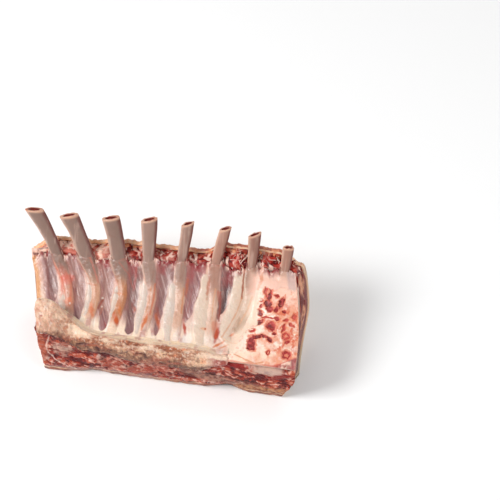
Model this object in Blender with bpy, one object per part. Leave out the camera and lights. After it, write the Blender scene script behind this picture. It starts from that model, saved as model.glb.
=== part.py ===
"""Frenched rack of lamb, raw, lying on its fat side with the hollow of the ribs facing up.

X runs along the rack, Y from the backbone side to the rib tips, Z up.
The origin is at the middle of the footprint, on the surface the rack lies on.
Sizes are in millimetres in the tables below and become metres in place().
"""
import bpy
import bmesh
from math import sin, cos, pi, atan2, hypot, exp

MM = 0.001

# frame: moves the sketch axes to the middle of the footprint
SHIFT_X = 8.7
SHIFT_Y = -39.2

# hollow inner side: one circular arc from the backbone lip up to the rib tips
ARC_RADIUS = 74.0
ARC_FOOT_Y = 5.0
ARC_FOOT_Z = 40.0

# distances s along that arc, and depths d below it
FRENCH_LINE_LEFT = 61.0
FRENCH_LINE_RIGHT = 69.0
SURFACE_DEPTH = 2.2
FRONT_S = -1.0

# outer back: thickness at the rim and how fast it grows towards the backbone
RIM_S = 72.0
RIM_DEPTH = 12.0
RIM_LEAST = 11.0
BACK_SLOPE = 0.80
CAP_THICK = 4.5
GAP = 0.35

# ends of the rack
LEFT_X = -92.5
LEFT_LEAN = 11.5
LEFT_SWELL = 2.0
RIGHT_X = 92.0
RIGHT_LEAN = 11.0
RIGHT_BEVEL = 5.0

# stations along the rack for the long lofts
STATIONS = 28

# bones: tip s, tip x, neck x, mid x, foot x, foot s, tip width, neck width, thickness, slant of the cut
NECK_S = 62.0
MID_S = 36.0
RIBS = {
    1: (88.4, -104.5, -88.8, -76.0, -73.0, 24.5, 13.4, 10.0, 6.2, 0.08),
    2: (87.0, -79.4, -66.9, -55.5, -56.2, 15.0, 13.4, 12.4, 6.4, 0.28),
    3: (89.0, -49.4, -42.4, -35.7, -38.4, 11.5, 12.4, 12.0, 6.4, 0.27),
    4: (91.5, -22.0, -20.6, -14.8, -16.6, 11.5, 11.6, 8.8, 6.2, 0.32),
    5: (92.0, 5.4, 2.8, 5.8, 6.5, 11.5, 8.9, 7.2, 5.8, 0.42),
    6: (91.6, 31.7, 26.5, 28.7, 29.1, 11.5, 8.6, 7.2, 5.6, 0.35),
    7: (89.9, 52.3, 52.1, 50.5, 45.6, 21.0, 9.0, 6.6, 5.4, 0.48),
    8: (83.2, 76.2, 75.1, 75.6, 75.6, 58.5, 7.9, 7.0, 5.4, 0.05),
}
BURIED_WIDTH = 7.0
RIB_DEPTH = 2.3
BORE_SHARE = 0.56
BORE_STOP = 6.0
RIB_SIDES = 12
BORE_SIDES = 8

# white fat beside the bones: bone, first s, last s, width
PADS = {
    2: (22.0, 41.0, 2.9),
    3: (18.0, 42.0, 3.0),
    4: (13.0, 45.0, 4.9),
    5: (11.5, 48.0, 7.4),
    6: (11.5, 56.0, 9.6),
    7: (14.0, 62.0, 8.6),
}

# ridge of gristle and backbone along the front edge
RIDGE_LEFT = -92.0
RIDGE_RIGHT = 44.0
RIDGE_TOP = 45.0
RIDGE_FOOT = 26.0
RIDGE_FRONT = -1.2
RIDGE_SET_BACK = 2.2

# sawn face of the backbone at the right end: a flat plane between two points of the section
SAWN_LOW = (2.0, 41.0)
SAWN_HIGH = (55.0, 62.0)
SAWN_UNDER = 4.0


def clamp(v, low=0.0, high=1.0):
    return max(low, min(high, v))


def mix(a, b, t):
    return a + (b - a) * t


def ease(t):
    """Smooth step from 0 to 1."""
    t = clamp(t)
    return t * t * (3.0 - 2.0 * t)


def bump(v, centre, width):
    return exp(-((v - centre) / width) ** 2)


def wave(a, b):
    """Fixed uneven relief between about -1 and 1."""
    slow = 0.5 * sin(1.31 * a + 0.83 * b + 0.4)
    middle = 0.3 * sin(2.17 * a - 1.49 * b + 2.0)
    return slow + middle + 0.2 * sin(3.7 * a + 2.9 * b)


def yz_of(s, d):
    """Section point at arc distance s and depth d below the arc."""
    th = s / ARC_RADIUS
    r = ARC_RADIUS + d
    return ARC_FOOT_Y + r * sin(th), ARC_FOOT_Z + ARC_RADIUS - r * cos(th)


def sd_of(y, z):
    """Arc distance and depth of a section point."""
    dy = y - ARC_FOOT_Y
    dz = ARC_FOOT_Z + ARC_RADIUS - z
    return ARC_RADIUS * atan2(dy, dz), hypot(dy, dz) - ARC_RADIUS


def place(x, y, z):
    """Millimetres of the sketch to metres in the part's frame."""
    if abs(z) < 0.001:
        z = 0.0
    return ((x + SHIFT_X) * MM, (y + SHIFT_Y) * MM, z * MM)


def left_edge(s, d):
    """The left end leans out towards the bones, most in the fat; its low front corner is round."""
    back = clamp(s / 61.0, 0.0, 1.4)
    low = 3.5 * clamp((d + 18.0) / 16.0) + 2.5 * clamp((d - 6.0) / 34.0) ** 1.3
    corner = low * clamp((14.0 - s) / 15.0)
    lean = LEFT_LEAN * back ** 1.3 + LEFT_SWELL * bump(s, 54.0, 11.0)
    return LEFT_X - lean - 4.5 * clamp(d / 30.0) * clamp(s / 40.0) + corner


def right_edge(s, d):
    """The right end leans in towards the bones, bevels out to the fat and is cut off low at the front."""
    back = clamp(s / RIM_S, 0.0, 1.2)
    bevel = RIGHT_BEVEL * clamp(d / 16.0) * ease((s - 22.0) / 26.0)
    corner = 11.0 * clamp((d - 14.0) / 26.0) ** 1.3 * clamp((12.0 - s) / 13.0)
    return RIGHT_X - RIGHT_LEAN * back * back + bevel - corner


def along(u, y, z):
    """X of the station u (0 left, 1 right) at a section point."""
    s, d = sd_of(y, z)
    return mix(left_edge(s, d), right_edge(s, d), u)


def rough_x(u):
    return mix(LEFT_X, RIGHT_X, u)


def french_line(u):
    return mix(FRENCH_LINE_LEFT, FRENCH_LINE_RIGHT, ease(u))


def rim_line(u):
    """Arc distance of the fat rim behind the bones, highest towards the right."""
    x = rough_x(u)
    s = 66.5 + 3.4 * ease((x + 60.0) / 74.0) + 7.2 * ease((x - 26.0) / 16.0)
    s += 2.0 * bump(x, -26.0, 17.0)
    s -= 9.5 * ease((-76.0 - x) / 18.0)
    s -= 8.0 * ease((x - 79.0) / 13.0)
    return s + 0.5 * wave(x * 0.35, 1.0)


def table_depth(s):
    """Depth at which the normal at s meets the plane z = 0."""
    th = s / ARC_RADIUS
    return (ARC_FOOT_Z + ARC_RADIUS) / cos(th) - ARC_RADIUS


def back_depth(s):
    """Depth of the outer surface: flat on the table, then rising to the rim."""
    rise = RIM_DEPTH + BACK_SLOPE * (RIM_S - s)
    rise += 2.0 * bump(s, 48.0, 16.0)
    return min(table_depth(s), max(rise, RIM_LEAST))


def cap_thickness(s):
    """The fat thins a little towards the rim."""
    return CAP_THICK - 0.5 * ease((s - 50.0) / 20.0)


def new_mesh_object(name, mesh, colour, roughness):
    """Object with its own material."""
    ob = bpy.data.objects.new(name, mesh)
    bpy.context.scene.collection.objects.link(ob)
    mat = bpy.data.materials.new(name)
    mat.use_nodes = True
    shader = mat.node_tree.nodes["Principled BSDF"]
    shader.inputs["Base Color"].default_value = (*colour, 1.0)
    shader.inputs["Roughness"].default_value = roughness
    shader.inputs["Metallic"].default_value = 0.0
    mesh.materials.append(mat)
    mesh.shade_smooth()
    mesh.set_sharp_from_angle(angle=0.7)
    return ob


def loft(rings, name):
    """Closed body through rings of the same length, with a flat cap at both ends."""
    bm = bmesh.new()
    rows = []
    for ring in rings:
        rows.append([bm.verts.new(p) for p in ring])
    count = len(rows[0])
    for a, b in zip(rows, rows[1:]):
        for i in range(count):
            j = (i + 1) % count
            bm.faces.new((a[i], a[j], b[j]))
            bm.faces.new((a[i], b[j], b[i]))
    bm.faces.new(list(reversed(rows[0])))
    bm.faces.new(rows[-1])
    bmesh.ops.recalc_face_normals(bm, faces=bm.faces[:])
    bmesh.ops.triangulate(bm, faces=bm.faces[:])
    mesh = bpy.data.meshes.new(name)
    bm.to_mesh(mesh)
    bm.free()
    return mesh


def cutter(name, mesh):
    """Guide object for a Boolean, left out of the part."""
    ob = bpy.data.objects.new(name, mesh)
    bpy.context.scene.collection.objects.link(ob)
    ob.hide_render = True
    ob.display_type = 'WIRE'
    return ob


def cut(target, tool):
    mod = target.modifiers.new("cut_" + tool.name, 'BOOLEAN')
    mod.operation = 'DIFFERENCE'
    mod.solver = 'EXACT'
    mod.object = tool


def rib_x(k, s):
    """X of bone k's middle line at s: a smooth curve through foot, mid, neck and tip."""
    tip_s, tip_x, neck_x, mid_x, foot_x, foot_s = RIBS[k][:6]
    knots = [(foot_s, foot_x), (MID_S, mid_x), (NECK_S, neck_x), (tip_s, tip_x)]
    if foot_s > MID_S:
        knots = [(foot_s, foot_x), (NECK_S, neck_x), (tip_s, tip_x)]
    for i in range(len(knots) - 1):
        (s0, x0), (s1, x1) = knots[i], knots[i + 1]
        if s <= s1 or i == len(knots) - 2:
            break
    before = knots[i - 1] if i > 0 else (s0 - (s1 - s0), x0 - (x1 - x0) * 0.3)
    after = knots[i + 2] if i + 2 < len(knots) else (s1 + (s1 - s0), x1 + (x1 - x0))
    m0 = (x1 - before[1]) / (s1 - before[0]) * (s1 - s0)
    m1 = (after[1] - x0) / (after[0] - s0) * (s1 - s0)
    t = (s - s0) / (s1 - s0)
    h1 = 2 * t ** 3 - 3 * t ** 2 + 1
    h2 = t ** 3 - 2 * t ** 2 + t
    h3 = -2 * t ** 3 + 3 * t ** 2
    h4 = t ** 3 - t ** 2
    return h1 * x0 + h2 * m0 + h3 * x1 + h4 * m1


def rib_width(k, s):
    """Wide at the sawn tip, then the neck's width, and 7 mm where the bone lies in the meat."""
    tip_s, tip_w, neck_w = RIBS[k][0], RIBS[k][6], RIBS[k][7]
    if s > NECK_S:
        return mix(neck_w, tip_w, ease((s - NECK_S) / (tip_s - NECK_S)))
    return mix(BURIED_WIDTH, neck_w, ease((s - MID_S) / 20.0))


def rib_rings(k, s_from, s_to, count, sides, share, grow, slanted):
    """Oval rings along bone k, share of its section, grown by grow on every side."""
    thick, slant = RIBS[k][8], RIBS[k][9]
    tip_s = RIBS[k][0]
    rings = []
    for i in range(count):
        s = mix(s_from, s_to, i / (count - 1))
        half_w = rib_width(k, s) * 0.5 * share + grow
        half_t = thick * 0.5 * share + grow
        lean = slant * ease((s - tip_s + 14.0) / 14.0) if slanted else 0.0
        ring = []
        for j in range(sides):
            a = 2.0 * pi * j / sides
            x = half_w * cos(a)
            d = RIB_DEPTH + half_t * sin(a)
            y, z = yz_of(s + lean * x, d)
            ring.append(place(rib_x(k, s) + x, y, z))
        rings.append(ring)
    return rings


def make_rib(k):
    tip_s, foot_s = RIBS[k][0], RIBS[k][5]
    count = 7 if k == 8 else 12
    body = loft(rib_rings(k, foot_s, tip_s, count, RIB_SIDES, 1.0, 0.0, True), "rib_%d" % k)
    rib = new_mesh_object("rib_%d" % k, body, (0.62, 0.42, 0.34), 0.5)
    start = foot_s + BORE_STOP
    bore_rings = rib_rings(k, start, tip_s + 5.0, count - 1, BORE_SIDES, BORE_SHARE, 0.0, True)
    cut(rib, cutter("bore_cutter_%d" % k, loft(bore_rings, "bore_cutter_%d" % k)))
    core = rib_rings(k, start + 0.6, tip_s - 0.8, count - 1, BORE_SIDES, BORE_SHARE, -GAP, True)
    new_mesh_object("marrow_%d" % k, loft(core, "marrow_%d" % k), (0.28, 0.05, 0.04), 0.4)


def rib_channel(k):
    """Cutter for the channel that bone k lies in."""
    tip_s, foot_s = RIBS[k][0], RIBS[k][5]
    count = 7 if k == 8 else 11
    rings = rib_rings(k, foot_s - 0.5, tip_s - 2.0, count, RIB_SIDES, 1.0, GAP + 0.1, False)
    return cutter("rib_channel_%d" % k, loft(rings, "rib_channel_%d" % k))


def pad_rings(k, grow):
    """Soft lens of fat against the left side of bone k, rising a little above the arc."""
    s_from, s_to, width = PADS[k]
    rings = []
    count = 7
    for i in range(count):
        t = i / (count - 1)
        s = mix(s_from - grow, s_to + grow, t)
        full = (0.35 + 0.65 * sin(pi * clamp(t * 0.92 + 0.04)) ** 0.6)
        right = rib_x(k, s)
        left = right - rib_width(k, s) * 0.5 - width * full
        mid = 0.5 * (left + right)
        half = 0.5 * (right - left) + grow
        ring = []
        for j in range(10):
            a = 2.0 * pi * j / 10
            x = mid + half * cos(a)
            d = 1.8 + (2.6 * full + 0.8 + grow) * sin(a)
            y, z = yz_of(s, d)
            ring.append(place(x, y, z))
        rings.append(ring)
    return rings


def lip(x):
    """Section position of the ridge's top: high at the left end, down to the sawn bone at the right."""
    y = 3.0 + 15.5 * ease((-46.0 - x) / 38.0)
    z = RIDGE_TOP + 2.5 * ease((-20.0 - x) / 30.0) + 12.5 * ease((-62.0 - x) / 24.0)
    z -= 3.4 * ease((x - 26.0) / 18.0)
    return y, z + 0.6 * wave(x * 0.12, 0.0)


def ridge_foot(x):
    rise = 7.0 * ease((-22.0 - x) / 22.0) + 14.0 * ease((-56.0 - x) / 22.0)
    return RIDGE_FOOT + rise + 8.0 * ease((x - 20.0) / 24.0)


def ridge_section(x, grow):
    """Outline of the ridge at x, counted from the foot up the front and over the back."""
    lip_y, lip_z = lip(x)
    foot_z = ridge_foot(x)
    thin = 1.0 - 0.45 * ease((x - 26.0) / 18.0)
    back_s = sd_of(lip_y + 9.0 * thin, ARC_FOOT_Z)[0]
    back_y, back_z = yz_of(back_s, 0.6)
    under_y, under_z = yz_of(back_s - 2.0, 6.5)
    front = RIDGE_FRONT + RIDGE_SET_BACK * ease((x - 28.0) / 16.0)
    points = [
        (front + 0.6, foot_z),
        (front, mix(foot_z, lip_z, 0.25)),
        (mix(front, lip_y, 0.35), mix(foot_z, lip_z, 0.62)),
        (mix(front, lip_y, 0.72), mix(foot_z, lip_z, 0.90)),
        (lip_y, lip_z),
        (lip_y + 2.6, lip_z - 1.0),
        (mix(lip_y, back_y, 0.72), mix(lip_z, back_z, 0.70)),
        (back_y, back_z),
        (under_y, under_z),
        (mix(under_y, front + 0.6, 0.5), mix(under_z, foot_z, 0.5) - 0.6),
    ]
    mid_y = sum(p[0] for p in points) / len(points)
    mid_z = sum(p[1] for p in points) / len(points)
    out = []
    for y, z in points:
        length = hypot(y - mid_y, z - mid_z)
        out.append((y + (y - mid_y) / length * grow, z + (z - mid_z) / length * grow))
    return out, mid_y, mid_z


def ridge_rings(grow):
    """Rings along the ridge; grown, they reach past both of its ends."""
    rings = []
    count = 22
    for i in range(count):
        x = mix(RIDGE_LEFT, RIDGE_RIGHT, i / (count - 1))
        outline, mid_y, mid_z = ridge_section(x, grow)
        ring = []
        for j, (y, z) in enumerate(outline):
            rough = 0.35 * wave(x * 0.45, j * 1.7)
            inset = 3.4 * ease((-72.0 - x) / 20.0) * clamp((13.0 - y) / 12.0)
            ring.append(place(x + inset, y + rough * (j < 5), z + rough))
        rings.append(ring)
    if grow > 0.0:
        rings.insert(0, [(x - 4.0 * MM, y, z) for x, y, z in rings[0]])
        rings.append([(x + GAP * MM, y, z) for x, y, z in rings[-1]])
    return rings


def sawn_left(s):
    """Left border of the sawn bone: clear of bone 7, then spreading at the foot."""
    return mix(44.5, 57.0, ease((s - 4.0) / 26.0))


def sawn_rings(grow, extra):
    """Flat sawn top, underside along the arc; the last ring reaches extra past the right end."""
    rings = []
    count = 9
    tops = 7
    for i in range(count):
        v = i / (count - 1)
        edge = 1.0 - 0.75 * (1.0 - v) ** 6
        ring = []
        for j in range(tops):
            t = j / (tops - 1)
            y = mix(SAWN_LOW[0], SAWN_HIGH[0], t)
            z = mix(SAWN_LOW[1], SAWN_HIGH[1], t)
            s, d = sd_of(y, z)
            d = d * edge - grow
            s += grow * (2.0 * t - 1.0)
            y, z = yz_of(s, d)
            x = mix(sawn_left(s) - grow, right_edge(s, d) - 0.2, v)
            ring.append(place(x, y, z))
        for j in range(tops):
            t = 1.0 - j / (tops - 1)
            s = mix(sd_of(*SAWN_LOW)[0] + 0.8, sd_of(*SAWN_HIGH)[0] - 1.0, t) + grow * (2.0 * t - 1.0)
            d = SAWN_UNDER * (0.55 + 0.45 * sin(pi * clamp(t, 0.08, 0.92))) + grow
            y, z = yz_of(s, d)
            x = mix(sawn_left(s) - grow, right_edge(s, d) - 0.2, v)
            ring.append(place(x, y, z))
        rings.append(ring)
    if extra > 0.0:
        rings.append([(x + extra * MM, y, z) for x, y, z in rings[-1]])
    return rings


def back_stations(u):
    """Arc distances from the front edge to the rim, shared by the meat and the fat."""
    last = rim_line(u)
    steps = [0.0, 0.05, 0.16, 0.27, 0.36, 0.43, 0.50, 0.57, 0.64, 0.72, 0.80, 0.88, 0.95, 1.0]
    return [mix(FRONT_S, last, t) for t in steps]


def trim_back(x):
    """How far the trimmed bottom edge steps back along the rack; forward near the left end."""
    return 4.6 * bump(x, 49.0, 10.0) + 2.4 * bump(x, -54.0, 9.0) - 1.6 * ease((-66.0 - x) / 14.0)


def front_y(u, z):
    """Front face of the meat: set back at the table, swelling forward above, fullest at the left."""
    x = rough_x(u)
    foot = 3.8 - 1.6 * ease((-35.0 - x) / 30.0) + trim_back(x) * clamp(1.0 - z / 14.0)
    return foot - 2.6 * sin(pi * clamp(z / 34.0, 0.0, 0.6)) + 0.35 * wave(x * 0.4, z * 0.3)


def lean_ring(u):
    x = rough_x(u)
    ring = []
    outline, mid_y, mid_z = ridge_section(min(x, RIDGE_RIGHT), 0.0)
    foot_y, foot_z = outline[0]
    if x > RIDGE_RIGHT + 4.0:
        corner = (1.6, 34.0)
        start_s = 2.5
    else:
        corner = (mix(foot_y, mid_y, 0.22), mix(foot_z, mid_z, 0.22))
        start_s = sd_of(lip(x)[0] + 4.5, ARC_FOOT_Z)[0]
    last_s = french_line(u)
    inner = 10
    for i in range(inner):
        s = mix(start_s, last_s, i / (inner - 1))
        d = SURFACE_DEPTH + 0.35 * wave(x * 0.3, s * 0.2)
        ring.append(yz_of(s, d))
    stations = back_stations(u)
    rim = stations[-1]
    face_depth = back_depth(rim) - cap_thickness(rim) - GAP
    for t in (0.30, 0.64):
        s = mix(last_s, rim - 1.2, t) + 0.9 * wave(x * 0.5, t * 9.0)
        d = mix(SURFACE_DEPTH, face_depth, t) + 0.8 * wave(x * 0.7 + 3.0, t * 7.0)
        ring.append(yz_of(s, d))
    ring.append(yz_of(rim - 1.2, face_depth))
    for s in reversed(stations[1:-1]):
        ring.append(yz_of(s, back_depth(s) - cap_thickness(s) - GAP))
    low = CAP_THICK + GAP
    for t in (0.0, 0.2, 0.45, 0.75):
        z = mix(low, corner[1], t)
        ring.append((mix(front_y(u, z), corner[0], t * t), z))
    ring.append(corner)
    return [place(along(u, y, z), y, z) for y, z in ring]


def cap_ring(u):
    """Fat from the front bottom edge, under the meat and up to the rim, a little proud at both ends."""
    stations = back_stations(u)
    reach = 1.0 + 0.012
    v = 0.5 + (u - 0.5) * reach
    ring = [(front_y(u, 0.0), 0.0)]
    for s in stations[1:]:
        ring.append(yz_of(s, back_depth(s)))
    rim = stations[-1]
    ring.append(yz_of(rim + 1.2, back_depth(rim) - 1.6))
    ring.append(yz_of(rim + 0.2, back_depth(rim) - cap_thickness(rim)))
    for s in reversed(stations[1:-1]):
        ring.append(yz_of(s, back_depth(s) - cap_thickness(s)))
    ring.append((front_y(u, CAP_THICK), CAP_THICK))
    return [place(along(v, y, z), y, z) for y, z in ring]


def make_lean():
    rings = [lean_ring(i / (STATIONS - 1)) for i in range(STATIONS)]
    lean = new_mesh_object("lean_meat", loft(rings, "lean_meat"), (0.36, 0.10, 0.08), 0.45)
    cut(lean, cutter("ridge_cutter", loft(ridge_rings(GAP + 0.1), "ridge_cutter")))
    cut(lean, cutter("sawn_cutter", loft(sawn_rings(GAP, 4.0), "sawn_cutter")))
    for k in PADS:
        cut(lean, cutter("pad_cutter_%d" % k, loft(pad_rings(k, GAP), "pad_cutter_%d" % k)))
    for k in RIBS:
        cut(lean, rib_channel(k))
    return lean


def make_cap():
    rings = [cap_ring(i / (STATIONS - 1)) for i in range(STATIONS)]
    return new_mesh_object("fat_cap", loft(rings, "fat_cap"), (0.80, 0.62, 0.50), 0.5)


def make_pads():
    for k in PADS:
        body = loft(pad_rings(k, 0.0), "fat_pad_%d" % k)
        pad = new_mesh_object("fat_pad_%d" % k, body, (0.80, 0.66, 0.56), 0.45)
        cut(pad, bpy.data.objects["rib_channel_%d" % k])


def main():
    for ob in list(bpy.data.objects):
        bpy.data.objects.remove(ob, do_unlink=True)
    for k in RIBS:
        make_rib(k)
    make_lean()
    make_cap()
    make_pads()
    ridge = loft(ridge_rings(0.0), "chine_ridge")
    new_mesh_object("chine_ridge", ridge, (0.74, 0.50, 0.38), 0.5)
    sawn = loft(sawn_rings(0.0, 0.0), "sawn_bone")
    new_mesh_object("sawn_bone", sawn, (0.90, 0.80, 0.70), 0.5)


main()
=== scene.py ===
"""Frenched rack of lamb, raw: the looks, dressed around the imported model.

The shapes are worked out in millimetres on the rack's own axes: x along the rack, and in each
cross-section an arc distance s along the hollow of the ribs and a depth d below that arc.
to_frame() turns them into metres in the model's frame.
"""
import math
import bpy
import numpy as np
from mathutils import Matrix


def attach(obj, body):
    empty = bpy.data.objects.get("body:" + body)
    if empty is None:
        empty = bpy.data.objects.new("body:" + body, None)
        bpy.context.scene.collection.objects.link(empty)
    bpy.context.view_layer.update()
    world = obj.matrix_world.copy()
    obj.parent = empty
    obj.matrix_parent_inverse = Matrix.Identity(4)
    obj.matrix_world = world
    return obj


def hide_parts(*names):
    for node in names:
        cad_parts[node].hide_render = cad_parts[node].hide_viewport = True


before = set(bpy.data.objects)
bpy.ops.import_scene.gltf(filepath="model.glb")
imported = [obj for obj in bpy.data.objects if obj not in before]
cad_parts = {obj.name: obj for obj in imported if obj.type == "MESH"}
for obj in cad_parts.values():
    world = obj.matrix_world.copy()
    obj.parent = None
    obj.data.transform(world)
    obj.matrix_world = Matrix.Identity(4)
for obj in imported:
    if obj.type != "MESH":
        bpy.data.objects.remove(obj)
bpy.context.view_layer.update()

# the rack's own sizes, in millimetres
SHIFT = np.array([8.7, -39.2, 0.0])
ARC_R, ARC_Y, ARC_Z = 74.0, 5.0, 40.0
LEFT_X, RIGHT_X = -92.5, 92.0
FRONT_S = -1.0
NECK_S, MID_S = 62.0, 36.0
SKIN_DEPTH = 2.2
CAP_THICK = 4.5

# bones: tip s, tip x, neck x, mid x, foot x, foot s, tip width, neck width, thickness, slant of the cut
RIBS = {
    1: (88.4, -104.5, -88.8, -76.0, -73.0, 24.5, 13.4, 10.0, 6.2, 0.08),
    2: (87.0, -79.4, -66.9, -55.5, -56.2, 15.0, 13.4, 12.4, 6.4, 0.28),
    3: (89.0, -49.4, -42.4, -35.7, -38.4, 11.5, 12.4, 12.0, 6.4, 0.27),
    4: (91.5, -22.0, -20.6, -14.8, -16.6, 11.5, 11.6, 8.8, 6.2, 0.32),
    5: (92.0, 5.4, 2.8, 5.8, 6.5, 11.5, 8.9, 7.2, 5.8, 0.42),
    6: (91.6, 31.7, 26.5, 28.7, 29.1, 11.5, 8.6, 7.2, 5.6, 0.35),
    7: (89.9, 52.3, 52.1, 50.5, 45.6, 21.0, 9.0, 6.6, 5.4, 0.48),
    8: (83.2, 76.2, 75.1, 75.6, 75.6, 58.5, 7.9, 7.0, 5.4, 0.05),
}
RIB_DEPTH = 2.3
BURIED_WIDTH = 7.0

# windows of silverskin between the bones: s of the foot, then s, left x and right x going up
WINDOWS = {
    1: (21.5, [(25.5, -86.5, -81.3), (33.0, -90.0, -81.0), (46.0, -93.0, -85.0), (53.0, -95.0, -88.0)]),
    2: (10.5, [(13.5, -68.0, -62.4), (28.0, -69.6, -61.2), (42.0, -72.0, -63.5), (55.0, -77.4, -70.0)]),
    3: (7.5, [(16.0, -49.2, -42.2), (30.0, -50.5, -42.8), (44.5, -50.7, -43.6), (58.0, -55.5, -48.8)]),
    4: (7.5, [(11.0, -30.0, -23.4), (33.0, -31.6, -24.2), (47.0, -33.0, -24.5), (59.0, -34.4, -28.0)]),
    5: (9.0, [(21.0, -10.2, -5.7), (36.0, -10.9, -4.9), (49.5, -11.8, -3.7), (62.0, -12.5, -4.0)]),
    6: (24.0, [(25.0, 9.8, 14.3), (38.0, 9.1, 16.7), (47.0, 8.6, 18.4), (65.0, 8.7, 18.5)]),
    7: (29.0, [(30.0, 33.7, 35.0), (34.0, 33.8, 37.2), (48.0, 34.0, 38.8), (62.0, 33.0, 38.6)]),
}

# white fat against the left side of a bone: first s, last s, width
PADS = {
    1: (14.0, 31.0, 4.6),
    2: (20.0, 41.0, 3.7),
    3: (17.0, 42.0, 3.2),
    4: (11.0, 46.0, 4.8),
    5: (7.0, 49.0, 6.8),
    6: (6.0, 58.0, 9.6),
    7: (5.0, 68.0, 10.3),
}


LIGHT_LEVEL, PURER = 1.19, 1.22


def seen(r, g, b):
    """Colour as it should look under the studio light: screen value 0..255 to linear light, a little
    purer because the wet sheen greys it, divided by the brightness of a level white surface."""
    c = np.array([r, g, b], float) / 255.0
    c = np.where(c <= 0.04045, c / 12.92, ((c + 0.055) / 1.055) ** 2.4)
    grey = c @ np.array([0.3, 0.6, 0.1])
    return np.maximum(grey + (c - grey) * PURER, 0.0) / LIGHT_LEVEL


def ease(low, high, v):
    """Smooth step from 0 at low to 1 at high."""
    t = np.clip((v - low) / (high - low), 0.0, 1.0)
    return t * t * (3.0 - 2.0 * t)


def mix(a, b, t):
    """a where t is 0, b where t is 1."""
    return a + (b - a) * t


def blend(tint, *coats):
    """Lays coats over a tint one after the other, given by turns as a colour and its share per
    point. A colour is three screen values or a tint worked out before."""
    tint = seen(*tint) if isinstance(tint, tuple) else tint
    for colour, share in zip(coats[::2], coats[1::2]):
        colour = seen(*colour) if isinstance(colour, tuple) else colour
        tint = tint + (colour - tint) * np.clip(share, 0.0, 1.0)[..., None]
    return tint


def bump(v, centre, width):
    """Bell curve of the given width."""
    return np.exp(-((v - centre) / width) ** 2)


# fixed noise
def lattice(i, j, k, seed):
    """Fixed value 0..1 at a whole-number point, by mixing its three numbers."""
    h = (i * 374761393 + j * 668265263 + k * 1440662683 + seed * 1274126177) & 0xFFFFFFFF
    h = ((h ^ (h >> 13)) * 1103515245) & 0xFFFFFFFF
    h = ((h ^ (h >> 16)) * 668265263) & 0xFFFFFFFF
    return ((h >> 8) & 0xFFFF) / 65535.0


def noise(p, size, seed=0):
    """Smooth noise -1..1: lattice values blended in the cell of side size that holds the point."""
    q = np.asarray(p, float) / size
    base = np.floor(q).astype(np.int64)
    f = q - base
    f = f * f * (3.0 - 2.0 * f)
    i, j, k = base[..., 0], base[..., 1], base[..., 2]
    total = 0.0
    for a in (0, 1):
        wa = f[..., 0] if a else 1.0 - f[..., 0]
        for b in (0, 1):
            wb = f[..., 1] if b else 1.0 - f[..., 1]
            for c in (0, 1):
                wc = f[..., 2] if c else 1.0 - f[..., 2]
                total = total + wa * wb * wc * lattice(i + a, j + b, k + c, seed)
    return total * 2.0 - 1.0


def cloud(p, size, octaves=4, seed=0, rough=0.5):
    """Sum of noises, each half the size and rough times the strength of the one before."""
    total, strength, full = 0.0, 1.0, 0.0
    for n in range(octaves):
        total = total + strength * noise(p, size / 2 ** n, seed + 17 * n)
        full += strength
        strength *= rough
    return total / full


def spots(low, high, p, *cloud_values):
    """Where a cloud is high: 0 below low, 1 above high. After the points come the cloud's values."""
    return ease(low, high, cloud(p, *cloud_values))


def veins(p, size, octaves=3, seed=0):
    """Thin winding lines: 1 where the cloud crosses zero, falling to 0 away from it."""
    return 1.0 - np.minimum(1.0, np.abs(cloud(p, size, octaves, seed)) * 5.0)


def warped(p, size, strength, seed):
    """Points pushed about by three clouds, so that the next noise curls."""
    push = [cloud(p, size, 2, seed + 7 * i) for i in range(3)]
    return p + strength * np.stack(push, -1)


def patch(a, b, place, half, turn=0.0, soft=0.3, ragged=0.25, seed=0):
    """1 inside an ellipse with the given half sizes, turned by degrees, fading over its soft border.
    a and b are the two surface coordinates; noise makes the border uneven."""
    c, q = math.cos(math.radians(turn)), math.sin(math.radians(turn))
    da, db = a - place[0], b - place[1]
    r = np.hypot((da * c + db * q) / half[0], (db * c - da * q) / half[1])
    r = r + ragged * noise(np.stack([a, b, 0 * a], -1), 2.0, seed + 40)
    return 1.0 - ease(1.0 - soft, 1.0 + soft, r)


def stroke(a, b, knots, width, ragged=0.3, seed=0):
    """1 along a bent line through the knots, fading over its width."""
    best = np.full(np.shape(a), 1e9)
    for (a0, b0), (a1, b1) in zip(knots[:-1], knots[1:]):
        va, vb = a1 - a0, b1 - b0
        t = np.clip(((a - a0) * va + (b - b0) * vb) / (va * va + vb * vb), 0.0, 1.0)
        best = np.minimum(best, np.hypot(a - a0 - t * va, b - b0 - t * vb))
    wobble = ragged * noise(np.stack([a, b, 0 * a], -1), 1.6, seed + 60)
    return 1.0 - ease(0.4, 1.2, best / width + wobble)


# the section arc and the edges
def section(s, d):
    """Point at arc distance s and depth d: y = Y + (R + d) sin(s / R), z = Z + R - (R + d) cos(s / R)."""
    th = s / ARC_R
    return ARC_Y + (ARC_R + d) * np.sin(th), ARC_Z + ARC_R - (ARC_R + d) * np.cos(th)


def arc_of(y, z):
    """Arc distance and depth of a section point."""
    dy, dz = y - ARC_Y, ARC_Z + ARC_R - z
    return ARC_R * np.arctan2(dy, dz), np.hypot(dy, dz) - ARC_R


def to_frame(x, y, z):
    """Millimetres on the rack's axes to metres in the model's frame."""
    x, y, z = np.broadcast_arrays(x, y, z)
    return (np.stack([x, y, z], -1) + SHIFT) * 0.001


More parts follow.
